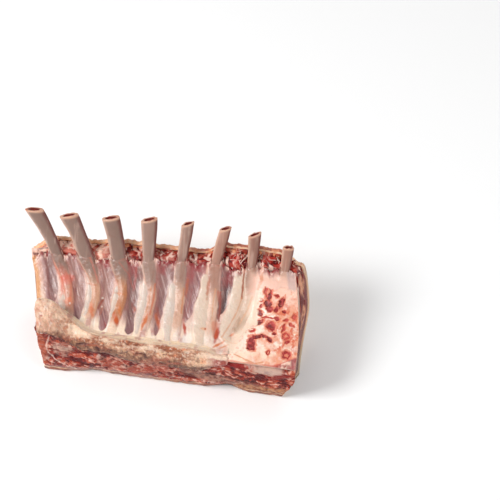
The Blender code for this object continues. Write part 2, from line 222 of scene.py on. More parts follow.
def left_edge(s, d):
    """Left end: leans out towards the bones and rounds in at the low front corner."""
    back = np.clip(s / 61.0, 0.0, 1.4)
    low = 3.5 * np.clip((d + 18.0) / 16.0, 0, 1) + 2.5 * np.clip((d - 6.0) / 34.0, 0, 1) ** 1.3
    corner = low * np.clip((14.0 - s) / 15.0, 0, 1)
    belly = 4.5 * np.clip(d / 30.0, 0, 1) * np.clip(s / 40.0, 0, 1)
    return LEFT_X - 11.5 * back ** 1.3 - 2.0 * bump(s, 54.0, 11.0) - belly + corner


def right_edge(s, d):
    """Right end: leans in towards the bones, bevels out to the fat, low front corner cut off."""
    back = np.clip(s / 72.0, 0.0, 1.2)
    bevel = 5.0 * np.clip(d / 16.0, 0, 1) * ease(22.0, 48.0, s)
    corner = 11.0 * np.clip((d - 14.0) / 26.0, 0, 1) ** 1.3 * np.clip((12.0 - s) / 13.0, 0, 1)
    return RIGHT_X - 11.0 * back * back + bevel - corner


def along(u, y, z):
    """x of the station u, 0 at the left end and 1 at the right, at a section point."""
    s, d = arc_of(y, z)
    return mix(left_edge(s, d), right_edge(s, d), u)


def wave(a, b):
    """Slow fixed unevenness of the solids, between about -1 and 1."""
    slow = 0.5 * np.sin(1.31 * a + 0.83 * b + 0.4)
    return slow + 0.3 * np.sin(2.17 * a - 1.49 * b + 2.0) + 0.2 * np.sin(3.7 * a + 2.9 * b)


def french_line(u):
    """Arc distance where the bones come bare, further up towards the right."""
    return mix(61.0, 69.0, ease(0.0, 1.0, u))


def rim_line(u):
    """Arc distance of the fat rim behind the bones."""
    x = mix(LEFT_X, RIGHT_X, u)
    s = 66.5 + 3.4 * ease(-60.0, 14.0, x) + 7.2 * ease(26.0, 42.0, x) + 2.0 * bump(x, -26.0, 17.0)
    s = s - 9.5 * (1.0 - ease(-94.0, -76.0, x)) - 8.0 * ease(79.0, 92.0, x)
    return s + 0.5 * wave(x * 0.35, 1.0)


def back_depth(s):
    """Depth of the outer surface: the table plane, rounding into a rise to the rim."""
    table = (ARC_Z + ARC_R) / np.cos(s / ARC_R) - ARC_R
    rise = np.maximum(12.0 + 0.80 * (72.0 - s) + 2.0 * bump(s, 48.0, 16.0), 11.0)
    k = 2.0
    h = np.clip(0.5 + 0.5 * (rise - table) / k, 0.0, 1.0)
    return rise * (1.0 - h) + table * h - k * h * (1.0 - h) * 0.5


def cap_thickness(s):
    return CAP_THICK - 0.5 * ease(50.0, 70.0, s)


def trim_back(x):
    """How far the trimmed bottom edge steps back along the rack; forward near the left end."""
    return 4.6 * bump(x, 49.0, 10.0) + 2.4 * bump(x, -54.0, 9.0) - 1.6 * (1.0 - ease(-80.0, -66.0, x))


def front_y(u, z):
    """Front face of the meat: set back at the table and swelling forward above."""
    x = mix(LEFT_X, RIGHT_X, u)
    foot = 3.8 - 1.6 * (1.0 - ease(-65.0, -35.0, x)) + trim_back(x) * np.clip(1.0 - z / 14.0, 0, 1)
    return foot - 2.6 * np.sin(np.pi * np.clip(z / 34.0, 0.0, 0.6)) + 0.35 * wave(x * 0.4, z * 0.3)


def cubic(t, start, end, slope0, slope1):
    """Cubic from start to end while t goes from 0 to 1, with the given slopes at the two ends."""
    part = (2 * t ** 3 - 3 * t ** 2 + 1) * start + (t ** 3 - 2 * t ** 2 + t) * slope0
    return part + (-2 * t ** 3 + 3 * t ** 2) * end + (t ** 3 - t ** 2) * slope1


def through(knots, values, at):
    """Smooth curve through a few knots (cubic, slopes from the neighbours)."""
    t, v = np.array(knots, float), np.array(values, float)
    slope = np.gradient(v, t)
    i = np.clip(np.searchsorted(t, at) - 1, 0, len(t) - 2)
    span = t[i + 1] - t[i]
    return cubic((at - t[i]) / span, v[i], v[i + 1], span * slope[i], span * slope[i + 1])


def rib_x(k, s):
    """x of bone k's middle line, the same curve as the solid's."""
    tip_s, tip_x, neck_x, mid_x, foot_x, foot_s = RIBS[k][:6]
    knots = [(foot_s, foot_x), (MID_S, mid_x), (NECK_S, neck_x), (tip_s, tip_x)]
    if foot_s > MID_S:
        knots = [(foot_s, foot_x), (NECK_S, neck_x), (tip_s, tip_x)]
    s = np.asarray(s, float)
    out = np.zeros_like(s)
    for i in range(len(knots) - 1):
        (s0, x0), (s1, x1) = knots[i], knots[i + 1]
        before = knots[i - 1] if i > 0 else (s0 - (s1 - s0), x0 - (x1 - x0) * 0.3)
        after = knots[i + 2] if i + 2 < len(knots) else (s1 + (s1 - s0), x1 + (x1 - x0))
        slope0 = (x1 - before[1]) / (s1 - before[0]) * (s1 - s0)
        slope1 = (after[1] - x0) / (after[0] - s0) * (s1 - s0)
        here = (s > s0) if i > 0 else np.ones_like(s, bool)
        out = np.where(here, cubic((s - s0) / (s1 - s0), x0, x1, slope0, slope1), out)
    return out


def rib_width(k, s):
    """Wide at the sawn tip, then the neck's width, and 7 mm where the bone lies in the meat."""
    tip_s, tip_w, neck_w = RIBS[k][0], RIBS[k][6], RIBS[k][7]
    inner = mix(BURIED_WIDTH, neck_w, ease(MID_S, MID_S + 20.0, s))
    return np.where(s > NECK_S, mix(neck_w, tip_w, ease(NECK_S, tip_s, s)), inner)


def lip(x):
    """Section position of the ridge's top: high at the left end, down to the sawn bone at the right."""
    lean = 1.0 - ease(-84.0, -46.0, x)
    y = 3.0 + 15.5 * lean
    z = 45.0 + 2.5 * (1.0 - ease(-50.0, -20.0, x)) + 12.5 * (1.0 - ease(-86.0, -62.0, x))
    z = z - 3.4 * ease(26.0, 44.0, x)
    return y, z + 0.6 * wave(x * 0.12, 0.0)


def ridge_foot(x):
    rise = 7.0 * (1.0 - ease(-44.0, -22.0, x)) + 14.0 * (1.0 - ease(-78.0, -56.0, x))
    return 26.0 + rise + 8.0 * ease(20.0, 44.0, x)


# meshes
def closed_skin(name, rings, tint):
    """Closed body from a grid of rings (stations, points round, 3), joined round each ring and
    closed by one flat face at both ends. tint is the colour per grid point."""
    n, m = rings.shape[:2]
    points = rings.reshape(-1, 3)
    i, j = np.meshgrid(np.arange(n - 1), np.arange(m), indexing="ij")
    a = (i * m + j).ravel()
    b = (i * m + (j + 1) % m).ravel()
    quads = np.stack([a, b, b + m, a + m], 1)
    first, last = np.arange(m)[::-1], (n - 1) * m + np.arange(m)
    fans = [np.stack([np.full(m - 2, e[0]), e[1:-1], e[2:]], 1) for e in (first, last)]
    c = points[np.concatenate([quads[:, [0, 1, 2]], quads[:, [0, 2, 3]]] + fans)]
    if np.einsum("ij,ij->i", c[:, 0], np.cross(c[:, 1], c[:, 2])).sum() < 0:
        quads, first, last = quads[:, ::-1], first[::-1], last[::-1]
    mesh = bpy.data.meshes.new(name)
    loops = np.concatenate([quads.ravel(), first, last]).astype(np.int32)
    starts = np.append(np.arange(len(quads) + 1) * 4, len(quads) * 4 + m).astype(np.int32)
    mesh.vertices.add(len(points))
    mesh.vertices.foreach_set("co", points.astype(np.float32).ravel())
    mesh.loops.add(len(loops))
    mesh.loops.foreach_set("vertex_index", loops)
    mesh.polygons.add(len(starts))
    mesh.polygons.foreach_set("loop_start", starts)
    mesh.update(calc_edges=True)
    mesh.validate()
    mesh.shade_smooth()
    return painted(name, mesh, tint.reshape(n * m, 3))


def painted(name, mesh, tint):
    """Object of the mesh, with its colours as the point attribute tint."""
    colour = np.concatenate([np.clip(tint, 0, 1), np.ones((len(tint), 1))], 1)
    layer = mesh.attributes.new("tint", "FLOAT_COLOR", "POINT")
    layer.data.foreach_set("color", colour.astype(np.float32).ravel())
    ob = bpy.data.objects.new(name, mesh)
    bpy.context.scene.collection.objects.link(ob)
    return ob


def finish_piece(ob, material, slot, *nodes):
    ob.data.materials.append(material)
    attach(ob, "root")
    if nodes:
        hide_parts(*nodes)
    return ob


# materials
def tissue(name, roughness, wet, soak, soak_mm, grain, grain_mm, mottle, gloss_coat=0.0, sheen=0.5):
    """Moist tissue: the painted tint, mottled by noise, with fine relief and light that soaks in.
    The fine noise takes the roughness from wet to dry; grain is the depth of the relief in mm."""
    mat = bpy.data.materials.new(name)
    mat.use_nodes = True
    nodes, links = mat.node_tree.nodes, mat.node_tree.links
    shader = nodes["Principled BSDF"]

    def fill(node, values):
        for socket, value in values.items():
            node.inputs[socket].default_value = value
        return node

    def speckle(size_mm, detail):
        scale = {"Scale": 1000.0 / size_mm, "Detail": detail, "Roughness": 0.6}
        tex = fill(nodes.new("ShaderNodeTexNoise"), scale)
        links.new(place.outputs["Object"], tex.inputs["Vector"])
        return tex.outputs["Fac"]

    def ranged(value, low, high, to_low, to_high):
        ends = {"From Min": low, "From Max": high, "To Min": to_low, "To Max": to_high}
        node = fill(nodes.new("ShaderNodeMapRange"), ends)
        links.new(value, node.inputs["Value"])
        return node.outputs["Result"]

    fill(shader, {
        "Subsurface Weight": soak,
        "Subsurface Radius": (1.0, 0.35, 0.2),
        "Subsurface Scale": soak_mm * 0.001,
        "Specular IOR Level": sheen,
        "Coat Weight": gloss_coat,
        "Coat Roughness": 0.18,
    })
    place = nodes.new("ShaderNodeTexCoord")
    tint = nodes.new("ShaderNodeAttribute")
    tint.attribute_name = "tint"
    fine = speckle(grain_mm, 4.0)
    colour = nodes.new("ShaderNodeVectorMath")
    colour.operation = "SCALE"
    links.new(tint.outputs["Color"], colour.inputs[0])
    lift = ranged(speckle(6.0, 3.0), 0.3, 0.7, 1.0 - mottle, 1.0 + mottle * 0.7)
    links.new(lift, colour.inputs["Scale"])
    links.new(colour.outputs["Vector"], shader.inputs["Base Color"])
    dry = ranged(fine, 0.35, 0.65, roughness - wet, roughness + wet * 0.6)
    links.new(dry, shader.inputs["Roughness"])
    relief = fill(nodes.new("ShaderNodeBump"), {"Strength": 1.0, "Distance": grain * 0.001})
    links.new(fine, relief.inputs["Height"])
    links.new(relief.outputs["Normal"], shader.inputs["Normal"])
    return mat


meat = tissue("moist_lean_meat", 0.4, 0.18, 0.1, 1.0, 0.4, 0.9, 0.12, 0.0, 0.3)
fat = tissue("soft_outer_fat", 0.48, 0.12, 0.25, 1.6, 0.3, 1.2, 0.05, 0.05)
silverskin = tissue("silverskin", 0.36, 0.12, 0.12, 0.9, 0.2, 0.8, 0.05, 0.1)
gristle = tissue("backbone_gristle", 0.46, 0.14, 0.15, 1.2, 0.45, 1.0, 0.07, 0.05)
sawn = tissue("sawn_white_bone", 0.42, 0.14, 0.15, 1.0, 0.25, 0.8, 0.04, 0.05)
bone = tissue("scraped_bone", 0.45, 0.08, 0.15, 0.9, 0.1, 1.1, 0.05, 0.0)
marrow = tissue("bone_marrow", 0.45, 0.15, 0.1, 0.8, 0.5, 0.8, 0.2, 0.1)


# bones: shares of the oval that the bore and the core take, and how far above the foot the core starts
BORE_SHARE, CORE_SHARE, CORE_START = 0.58, 0.56, 6.6
# Brightness of each bone's tone, set bone by bone; bones 1 to 3 are lowered as painted shade against the
# key light on their left flanks
BONE_LEVEL = {1: 0.75, 2: 0.79, 3: 0.76, 4: 0.97, 5: 0.97, 6: 0.96, 7: 0.70, 8: 0.87}


def bone_tone(k):
    """Colour of the scraped bone: grey-beige on the left bones, warmer on the right ones."""
    return mix(seen(158, 131, 120), seen(178, 136, 121), float(ease(4.5, 6.5, k))) * BONE_LEVEL[k]


def make_rib(k):
    """Oval carried along the bone's middle line; the sawn end turns in over a rim into the bore."""
    tip_s, _, _, _, _, foot_s, _, _, thick, slant = RIBS[k]
    n = 150
    s = np.concatenate([mix(foot_s, tip_s - 0.5, np.linspace(0, 1, n)), np.full(3, tip_s)])
    share = np.concatenate([np.ones(n), [0.985, 0.93, 0.72]])
    deep = np.array([0.0, 0.5, 2.0, 5.0, 12.0])
    s = np.concatenate([s, tip_s - deep])
    share = np.concatenate([share, np.full(5, BORE_SHARE)])
    share[0] = 0.7
    s = s[:, None]
    a = np.linspace(0, 2 * np.pi, 56, endpoint=False)[None]
    share = share[:, None]
    covered = 1.0 - ease(NECK_S - 6.0, NECK_S - 1.0, s)
    hw = rib_width(k, s) * 0.5 * share * (1.0 - 0.06 * covered)
    ht = thick * 0.5 * share * (1.0 - 0.08 * covered)
    squash = np.abs(np.cos(a)) ** 1.25 * np.sign(np.cos(a)), np.abs(np.sin(a)) ** 0.9 * np.sign(np.sin(a))
    x = hw * mix(np.cos(a), squash[0], 0.25)
    d = RIB_DEPTH + ht * mix(np.sin(a), squash[1], 0.25)
    lean = slant * ease(tip_s - 14.0, tip_s, s)
    sx = s + lean * x
    uneven = np.stack(np.broadcast_arrays(rib_x(k, s) + x, sx, d), -1)
    outer = np.concatenate([np.ones(n + 2), np.zeros(6)])[:, None]
    swell = (0.16 * noise(uneven, 9.0, 3 + k) + 0.05 * noise(uneven, 2.2, 31 + k)) * outer
    x = x + swell * np.cos(a)
    d = d + swell * np.sin(a)
    rough_cut = (0.7 if k == 8 else 0.4) * noise(uneven, 1.6, 77 + k) * (share < 0.99) * (share > 0.6)
    y, z = section(sx + rough_cut, d)
    rings = to_frame(rib_x(k, s) + x, y, z)
    warm = ease(4.5, 6.5, k)
    side = np.cos(a) * np.ones_like(s)
    all_round = np.ones_like(a)
    ragged = spots(-0.2, 0.4, uneven, 1.1, 2, 90 + k) * (share < 0.95) * (share > 0.6)
    base = blend(
        bone_tone(k),
        # the lighter colour on the left flank is a painted highlight, the dark red-brown on the right
        # flank is painted shade
        mix(seen(212, 182, 168), seen(216, 180, 162), warm), 1.0 - ease(-1.0, -0.45, side),
        (112, 52, 46), 0.85 * ease(0.6, 0.95, side),
        (134, 98, 90), 0.5 * spots(0.1, 0.6, uneven * np.array([1.0, 0.35, 1.0]), 7.0, 3, 5 + k),
        (206, 178, 166), 0.45 * spots(0.15, 0.6, uneven * np.array([1.0, 0.1, 1.0]), 1.8, 3, 60 + k),
        (140, 104, 94), 0.3 * spots(0.35, 0.7, uneven * np.array([0.25, 1.0, 1.0]), 2.0, 2, 75 + k),
        (216, 176, 154), 0.9 * ease(tip_s - 2.0, tip_s - 0.4, s) * all_round,
        (112, 40, 34), (share < 0.66) * all_round,
        (160, 76, 60), 0.7 * ragged,
    )
    ob = closed_skin("bone_%d" % k, rings, base)
    return finish_piece(ob, bone, "bone", "rib_%d" % k)


def make_marrow(k):
    """Core of the bone: a smaller oval along the same line, its top sunk and crumbly."""
    tip_s, _, _, _, _, foot_s, _, _, thick, slant = RIBS[k]
    top = tip_s - 0.8
    s = mix(foot_s + CORE_START, top, np.linspace(0, 1, 40))
    share = np.full(40, CORE_SHARE)
    s = np.concatenate([s, np.full(4, top)])[:, None]
    share = np.concatenate([share, [0.48, 0.36, 0.22, 0.08]])[:, None]
    a = np.linspace(0, 2 * np.pi, 28, endpoint=False)[None]
    cap = (share < 0.55)
    x = (rib_width(k, s) * 0.5 * share - 0.35 * (share > 0.3)) * np.cos(a)
    d = RIB_DEPTH + (thick * 0.5 * share - 0.35 * (share > 0.3)) * np.sin(a)
    sx = s + slant * ease(tip_s - 14.0, tip_s, s) * x
    where = np.stack(np.broadcast_arrays(rib_x(k, s) + x, sx, d), -1)
    y, z = section(sx + cap * 0.5 * noise(where, 1.0, k), d)
    tint = blend(
        (140, 44, 38),
        (88, 18, 18), ease(0.0, 0.5, noise(where, 0.9, 8)),
        (190, 110, 90), 0.5 * ease(0.3, 0.8, noise(where, 0.7, 9)),
    )
    ob = closed_skin("marrow_core_%d" % k, to_frame(rib_x(k, s) + x, y, z), tint)
    return finish_piece(ob, marrow, "marrow", "marrow_%d" % k)


# hollow side: silverskin windows, covered bones, fat beside them
def window_field(x, s):
    """Signed distance to the nearest window, below 0 inside: a strip with a blunt foot.
    Also how far down the bowl of the window a point lies, the window's number and the side."""
    away = np.full_like(x, 99.0)
    bowl = np.zeros_like(x)
    number = np.zeros_like(x)
    side = np.zeros_like(x)
    for k, (foot, borders) in WINDOWS.items():
        knots, left, right = zip(*borders)
        within = np.clip(s, knots[0], knots[-1])
        beyond = np.maximum(s - knots[-1], 0.0) / (knots[-1] - knots[-2])
        low = through(knots, left, within) + beyond * (left[-1] - left[-2])
        high = through(knots, right, within) + beyond * (right[-1] - right[-2])
        mid, half = 0.5 * (low + high), 0.5 * (high - low)
        half = half + 0.4 * noise(np.stack([x * 0 + k * 50.0, s, x * 0], -1), 5.0, 4)
        half = half * np.clip((s - foot) / 2.8, 0.0, 1.0) ** 0.42
        gap = np.hypot(x - mid, np.maximum(foot - s, 0.0)) - half
        side = np.where(gap < away, np.clip((x - mid) / 3.0, -1.0, 1.0), side)
        near = gap < away
        number = np.where(near, k, number)
        bowl = np.where(near, np.clip(-gap / np.maximum(0.9 * half, 0.5), 0.0, 1.0), bowl)
        away = np.minimum(away, gap)
    return away, 1.0 - (1.0 - bowl) ** 2, number, side


# stains, marks and painted highlights on the hollow side: x, s, half width, half length, turn, colour,
# strength
ORANGE, BLOOD, PAINTED_GLINT = (188, 92, 58), (148, 42, 34), (246, 232, 220)
MARKS = [
    (-55.3, 21.5, 1.6, 4.6, 14, (202, 118, 86), 0.75),
    (-37.0, 17.2, 1.5, 4.6, 26, ORANGE, 0.95),
    (-35.5, 23.0, 1.1, 4.0, 14, (204, 128, 90), 0.7),
    (-16.9, 18.3, 1.2, 5.0, -10, (196, 112, 74), 0.9),
    (-8.2, 20.3, 1.5, 4.4, 22, (186, 102, 76), 0.8),
    (11.4, 17.5, 1.1, 4.6, 17, (170, 62, 42), 0.9),
    (34.3, 16.5, 1.6, 6.0, -6, BLOOD, 0.95),
    (32.6, 20.0, 2.2, 7.5, 8, (196, 104, 74), 0.55),
    (37.0, 9.0, 4.6, 0.9, 38, (198, 112, 72), 0.85),
    (40.5, 7.5, 3.4, 0.6, 30, (206, 126, 84), 0.7),
    (44.5, 17.0, 3.0, 0.8, 44, (208, 120, 84), 0.65),
    (-76.5, 41.5, 4.2, 3.0, 10, (206, 104, 92), 0.6),
    (-80.0, 45.5, 2.2, 5.5, 30, (196, 104, 88), 0.4),
    (-79.5, 36.0, 0.8, 7.0, 6, (204, 110, 92), 0.5),
    (-72.6, 33.0, 0.8, 7.0, 6, (190, 108, 88), 0.5),
    (-73.0, 25.5, 3.0, 2.6, 0, (216, 134, 106), 0.6),
    (-38.0, 36.0, 3.0, 0.7, -4, (190, 112, 60), 0.7),
    (-57.8, 40.0, 4.0, 0.7, -6, (186, 112, 84), 0.6),
    (8.6, 47.0, 1.2, 5.0, 0, (176, 98, 70), 0.6),
    (23.6, 47.5, 1.0, 6.5, 0, (176, 92, 64), 0.65),
    (31.4, 43.0, 0.8, 4.0, 10, (180, 90, 66), 0.6),
    (24.2, 18.6, 2.4, 0.9, 0, (222, 166, 130), 0.6),
    (25.8, 18.8, 0.5, 0.6, 0, (164, 72, 48), 0.8),
    (-50.0, 28.0, 0.8, 4.5, -16, (140, 72, 56), 0.8),
    (-48.8, 23.0, 0.8, 4.0, -6, (160, 96, 80), 0.6),
    (-27.6, 30.5, 0.9, 3.8, 0, (120, 56, 48), 0.8),
    (-25.6, 26.0, 1.2, 2.2, 0, (176, 96, 76), 0.7),
    (-28.6, 47.0, 0.9, 8.0, 0, (178, 88, 82), 0.5),
    # painted highlights: small pale glints of wet sheen
    (-49.6, 31.5, 0.6, 0.7, 0, PAINTED_GLINT, 0.7),
    (-49.0, 25.5, 0.6, 0.7, 0, PAINTED_GLINT, 0.7),
    (-71.6, 24.5, 0.6, 0.7, 0, PAINTED_GLINT, 0.7),
    (-83.5, 29.0, 0.9, 1.2, 0, (236, 200, 190), 0.6),
    (-10.6, 12.6, 1.3, 3.2, 24, (180, 130, 124), 0.6),
]
# lines beside the bones: knots of (x, s), width, colour, strength
LINES = [
    ([(-13.9, 46.0), (-13.6, 34.0), (-14.2, 24.0)], 0.7, (192, 108, 80), 0.7),
    ([(-16.6, 44.0), (-16.4, 34.0), (-17.4, 25.0)], 0.6, (198, 138, 104), 0.6),
    ([(6.8, 46.0), (7.0, 36.0), (7.4, 28.0)], 0.7, (192, 130, 98), 0.7),
    ([(12.2, 46.0), (12.0, 36.0), (11.2, 26.0)], 0.6, (150, 92, 88), 0.6),
    ([(32.6, 46.0), (33.6, 36.0), (34.2, 26.0)], 0.7, (150, 76, 66), 0.75),
    ([(29.0, 48.0), (28.4, 38.0), (29.4, 26.0)], 0.6, (208, 156, 128), 0.6),
    ([(47.2, 66.0), (47.6, 54.0), (47.8, 44.0)], 0.8, (150, 72, 44), 0.85),
    ([(47.8, 44.0), (46.0, 34.0), (41.5, 22.0), (38.0, 14.0)], 0.6, (206, 148, 118), 0.6),
    ([(55.0, 46.0), (53.0, 36.0), (49.0, 26.0)], 0.7, (226, 178, 148), 0.5),
    ([(-62.5, 60.0), (-58.0, 50.0), (-54.0, 42.0)], 0.8, (196, 120, 108), 0.5),
    ([(-41.0, 58.0), (-33.0, 50.0), (-30.0, 42.0)], 0.6, (182, 100, 88), 0.4),
    ([(59.4, 66.0), (60.0, 58.0), (58.6, 52.0)], 1.3, (204, 134, 98), 0.6),
    ([(84.4, 62.0), (85.6, 56.0), (87.0, 48.0)], 0.7, (186, 100, 84), 0.7),
    ([(38.0, 14.0), (46.0, 10.5), (57.0, 10.0)], 0.5, (232, 190, 160), 0.5),
]
WINDOW_LEVEL = [0.63, 0.92, 0.94, 0.57, 0.68, 0.88, 0.22]
RIB_TONES = {
    1: (194, 146, 128), 2: (200, 154, 130), 3: (180, 122, 90), 4: (198, 155, 137),
    5: (206, 168, 148), 6: (216, 184, 166), 7: (146, 120, 102), 8: (226, 194, 176),
}


CREST_SHIFT = {1: 1.0, 2: 0.5, 3: -0.3, 4: -0.3, 5: -0.7, 6: 0.0, 7: 1.7, 8: 0.0}


def crest_half(k, s):
    """Half width of the rounded crest that shows over bone k: narrow in the meat, full at the neck."""
    return mix(3.5, rib_width(k, np.minimum(s, 60.0)) * 0.5 + 0.5, ease(38.0, 58.0, s))


def crest_mid(k, s):
    """x of the crest over bone k."""
    return rib_x(k, np.clip(s, 8.0, 90.0)) + CREST_SHIFT[k] * (1.0 - ease(46.0, 60.0, s))


def make_hollow_side():
    """Height over the arc on a grid of station and arc distance: a raised web with rounded crests
    over the bones and the fat pads, hollowed in the windows. The tint follows the same fields."""
    n, m = 480, 190
    u = np.linspace(0.0, 1.0, n)[:, None]
    t = np.linspace(0.0, 1.0, m)[None]
    x_rough = mix(LEFT_X, RIGHT_X, u)
    start = arc_of(lip(np.minimum(x_rough, 44.0))[0] + 3.0, 40.0)[0]
    along_edge = np.stack([x_rough, 0 * x_rough, 0 * x_rough], -1)
    uneven = 1.4 * noise(along_edge, 9.0, 15) + 0.7 * noise(along_edge, 3.0, 16)
    start = start + uneven * (1.0 - ease(36.0, 44.0, x_rough))
    start = mix(start, 3.0, ease(40.0, 50.0, x_rough))
    torn = 1.3 * noise(along_edge, 2.0, 11) + 1.6 * noise(along_edge, 6.0, 12)
    torn = torn + 0.5 * noise(along_edge, 0.9, 13)
    line = french_line(u)
    x_line = mix(left_edge(line, 1.0), right_edge(line, 1.0), u)
    at_bone = np.zeros_like(u)
    for k in RIBS:
        off = (x_line - crest_mid(k, line)) / (crest_half(k, line) + 0.6)
        at_bone = np.maximum(at_bone, 1.0 - off ** 2)
    at_bone = ease(0.0, 0.45, at_bone)
    stop = line + 0.4 + torn * (1.0 - 0.7 * at_bone) - 3.4 * (1.0 - at_bone)
    stop = np.minimum(stop, rim_line(u) - 2.6 + 0.6 * torn)
    s = mix(start, stop, t)
    left = left_edge(s, 1.0 + 0 * s)
    right = right_edge(s, 1.0 + 0 * s)
    x = mix(left + 0.4, right - 0.4, u)
    at = np.stack(np.broadcast_arrays(x, s, 0 * s), -1)
    wob = 0.35 * noise(at, 3.0, 14)

    away, bowl, number, side = window_field(x + wob, s)
    pane = 1.0 - ease(-1.7, 0.7, away)
    crest = np.zeros_like(x)
    ridge = {}
    for k in RIBS:
        half = crest_half(k, s)
        off = (x + wob - crest_mid(k, s)) / half
        r = np.clip(1.0 - off ** 2, 0.0, 1.0)
        if k == 8:
            r = r * ease(50.0, 57.0, s)
        if k == 7:
            r = r * ease(16.0, 26.0, s)
        ridge[k] = (off, r)
        crest = np.maximum(crest, r * ease(6.0, 18.0, s))
    pad_crest = np.zeros_like(x)
    pad_share = {}
    for k, (s0, s1, width) in PADS.items():
        long = np.clip((s - s0) / (s1 - s0), 0.0, 1.0)
        half = width * 0.5 * (0.35 + 0.65 * np.sin(np.pi * np.clip(long, 0.03, 0.97)) ** 0.7)
        mid = crest_mid(k, s) - crest_half(k, s) + 0.3 - half
        p = np.clip(1.0 - ((x + wob - mid) / (half + 0.4)) ** 2, 0.0, 1.0)
        p = p * ease(s0 - 5.0, s0 + 3.0, s) * (1.0 - ease(s1 - 8.0, s1 + 2.0, s))
        pad_share[k] = p
        pad_crest = np.maximum(pad_crest, p)

    lump = cloud(at, 8.0, 4, 21)
    fan = at * np.array([0.8, 0.25, 0.0])
    fan_lift = cloud(fan, 3.4, 3, 63)
    web = -0.5 + 0.5 * lump + 0.6 * fan_lift * (1.0 - ease(12.0, 26.0, s - start))
    raised = np.maximum(-0.3 + 1.2 * np.sqrt(crest + 1e-6), -0.3 + np.sqrt(pad_crest + 1e-6))
    height = np.maximum(web, raised)
    for k in RIBS:
        off = (x - rib_x(k, np.clip(s, RIBS[k][5], 90.0))) / (rib_width(k, s) * 0.5)
        inside = np.clip(1.0 - off ** 2, 0.0, 1.0)
        over_bone = -RIB_DEPTH + RIBS[k][8] * 0.5 * np.sqrt(inside) + 0.2
        height = np.where(s > RIBS[k][5] - 1.0, np.maximum(height, over_bone), height)
        merge = ease(-5.0, -1.0, s - stop) * ease(0.05, 0.3, inside)
        height = mix(height, over_bone - 0.5, merge)
    height = height + 0.14 * noise(at, 3.0, 22) + 0.07 * noise(at, 1.2, 23)
    # strands in the windows run down to the right, steeper than the bones
    strand_at = np.stack([x + s * 0.44, (s - x * 0.44) * 0.1, 0 * x], -1)
    strand = 1.5 * cloud(warped(strand_at, 4.0, 0.6, 30), 1.6, 3, 31, 0.65)
    pane_floor = -0.45 - 0.45 * bowl + 0.3 * cloud(at, 6.0, 3, 24) + 0.22 * strand
    height = mix(height, pane_floor, pane)
    # laps a little way over the sawn bone, thins out there and dives under its surface
    border = x - sawn_left(s)
    inner = np.minimum(border, 57.6 - s)
    across = np.clip(border / (right_edge(s, 0.0) - 0.2 - sawn_left(s)), 0.0, 1.0)
    plate_top = plate_height(s) * (1.0 - 0.85 * (1.0 - across) ** 6)
    lap = 3.4 + 1.5 * noise(at, 5.0, 71) + 0.7 * noise(at, 1.8, 72)
    on_plate = plate_top + 0.32 * np.clip(1.0 - inner / lap, -9.0, 1.0)
    on_plate = np.where(inner > lap, np.maximum(plate_top - 0.9 * (inner - lap), -3.4), on_plate)
    height = mix(height, np.maximum(height, on_plate), ease(-4.5, 0.0, inner) * (inner < 0.0))
    height = np.where(inner >= 0.0, on_plate, height)
    # ragged edge at the bare bones
    near_end = ease(-6.0, 0.0, s - stop)
    rag = cloud(at * np.array([1.0, 0.6, 1.0]), 1.8, 3, 41)
    height = height + near_end * (0.9 * rag - 0.5) * (1.0 - 0.6 * crest)
    # climbs onto the ridge at the front
    climb = 1.0 - ease(0.0, 5.0, s - start)
    height = height + climb * 1.5 * (inner < 0.0)

    streaks = at * np.array([1.0, 0.3, 0.0])
    web_low = (1.0 - ease(9.0, 20.0, s - start)) * (1.0 - ease(24.0, 40.0, x))
    tint = blend(
        (229, 202, 190),
        (224, 176, 156), 0.6 * spots(-0.1, 0.5, streaks, 6.0, 4, 51),
        (206, 158, 150), 0.5 * spots(0.0, 0.5, at, 5.0, 4, 52),
        (242, 226, 214), 0.5 * spots(0.1, 0.5, streaks, 4.0, 3, 56),
        (250, 230, 210), 0.85 * web_low,
        (176, 130, 130), 0.75 * web_low * ease(0.12, 0.45, fan_lift),
        (250, 240, 232), 0.8 * web_low * spots(0.1, 0.45, fan, 2.6, 3, 64),
    )
    # windows of silverskin
    level = np.array([1.0] + WINDOW_LEVEL)[number.astype(int)][..., None]
    redder = ease(44.0, 60.0, s + 5.0 * noise(at, 9.0, 59)) * np.where(number >= 3, 1.0, 0.15)
    blood = spots(0.3, 0.6, strand_at, 2.8, 3, 54) * ease(0.1, 0.6, noise(at, 9.0, 61))
    pane_tone = blend(
        seen(174, 137, 129) * level,
        seen(158, 112, 115) * level, 0.55 * ease(3.5, 6.5, number),
        seen(150, 108, 112) * level, 0.5 * spots(-0.1, 0.5, at, 11.0, 3, 53),
        seen(212, 184, 180) * level ** 0.5, 0.75 * ease(0.12, 0.8, strand),
        (112, 70, 74), 0.75 * ease(0.12, 0.8, -strand),
        (158, 74, 76), 0.6 * redder * spots(-0.4, 0.4, at, 5.0, 3, 55),
        (136, 92, 98), 0.4 * (1.0 - ease(8.0, 22.0, s - start)),
        (150, 64, 54), 0.75 * blood,
    )
    flank_right = ease(42.0, 50.0, s) * (1.0 - ease(1.6, 2.6, away))
    flank = np.where(side > 0.0, flank_right, 1.0 - ease(1.6, 3.2, away))
    tint = blend(tint, pane_tone, 0.9 * flank * ease(12.0, 22.0, s))
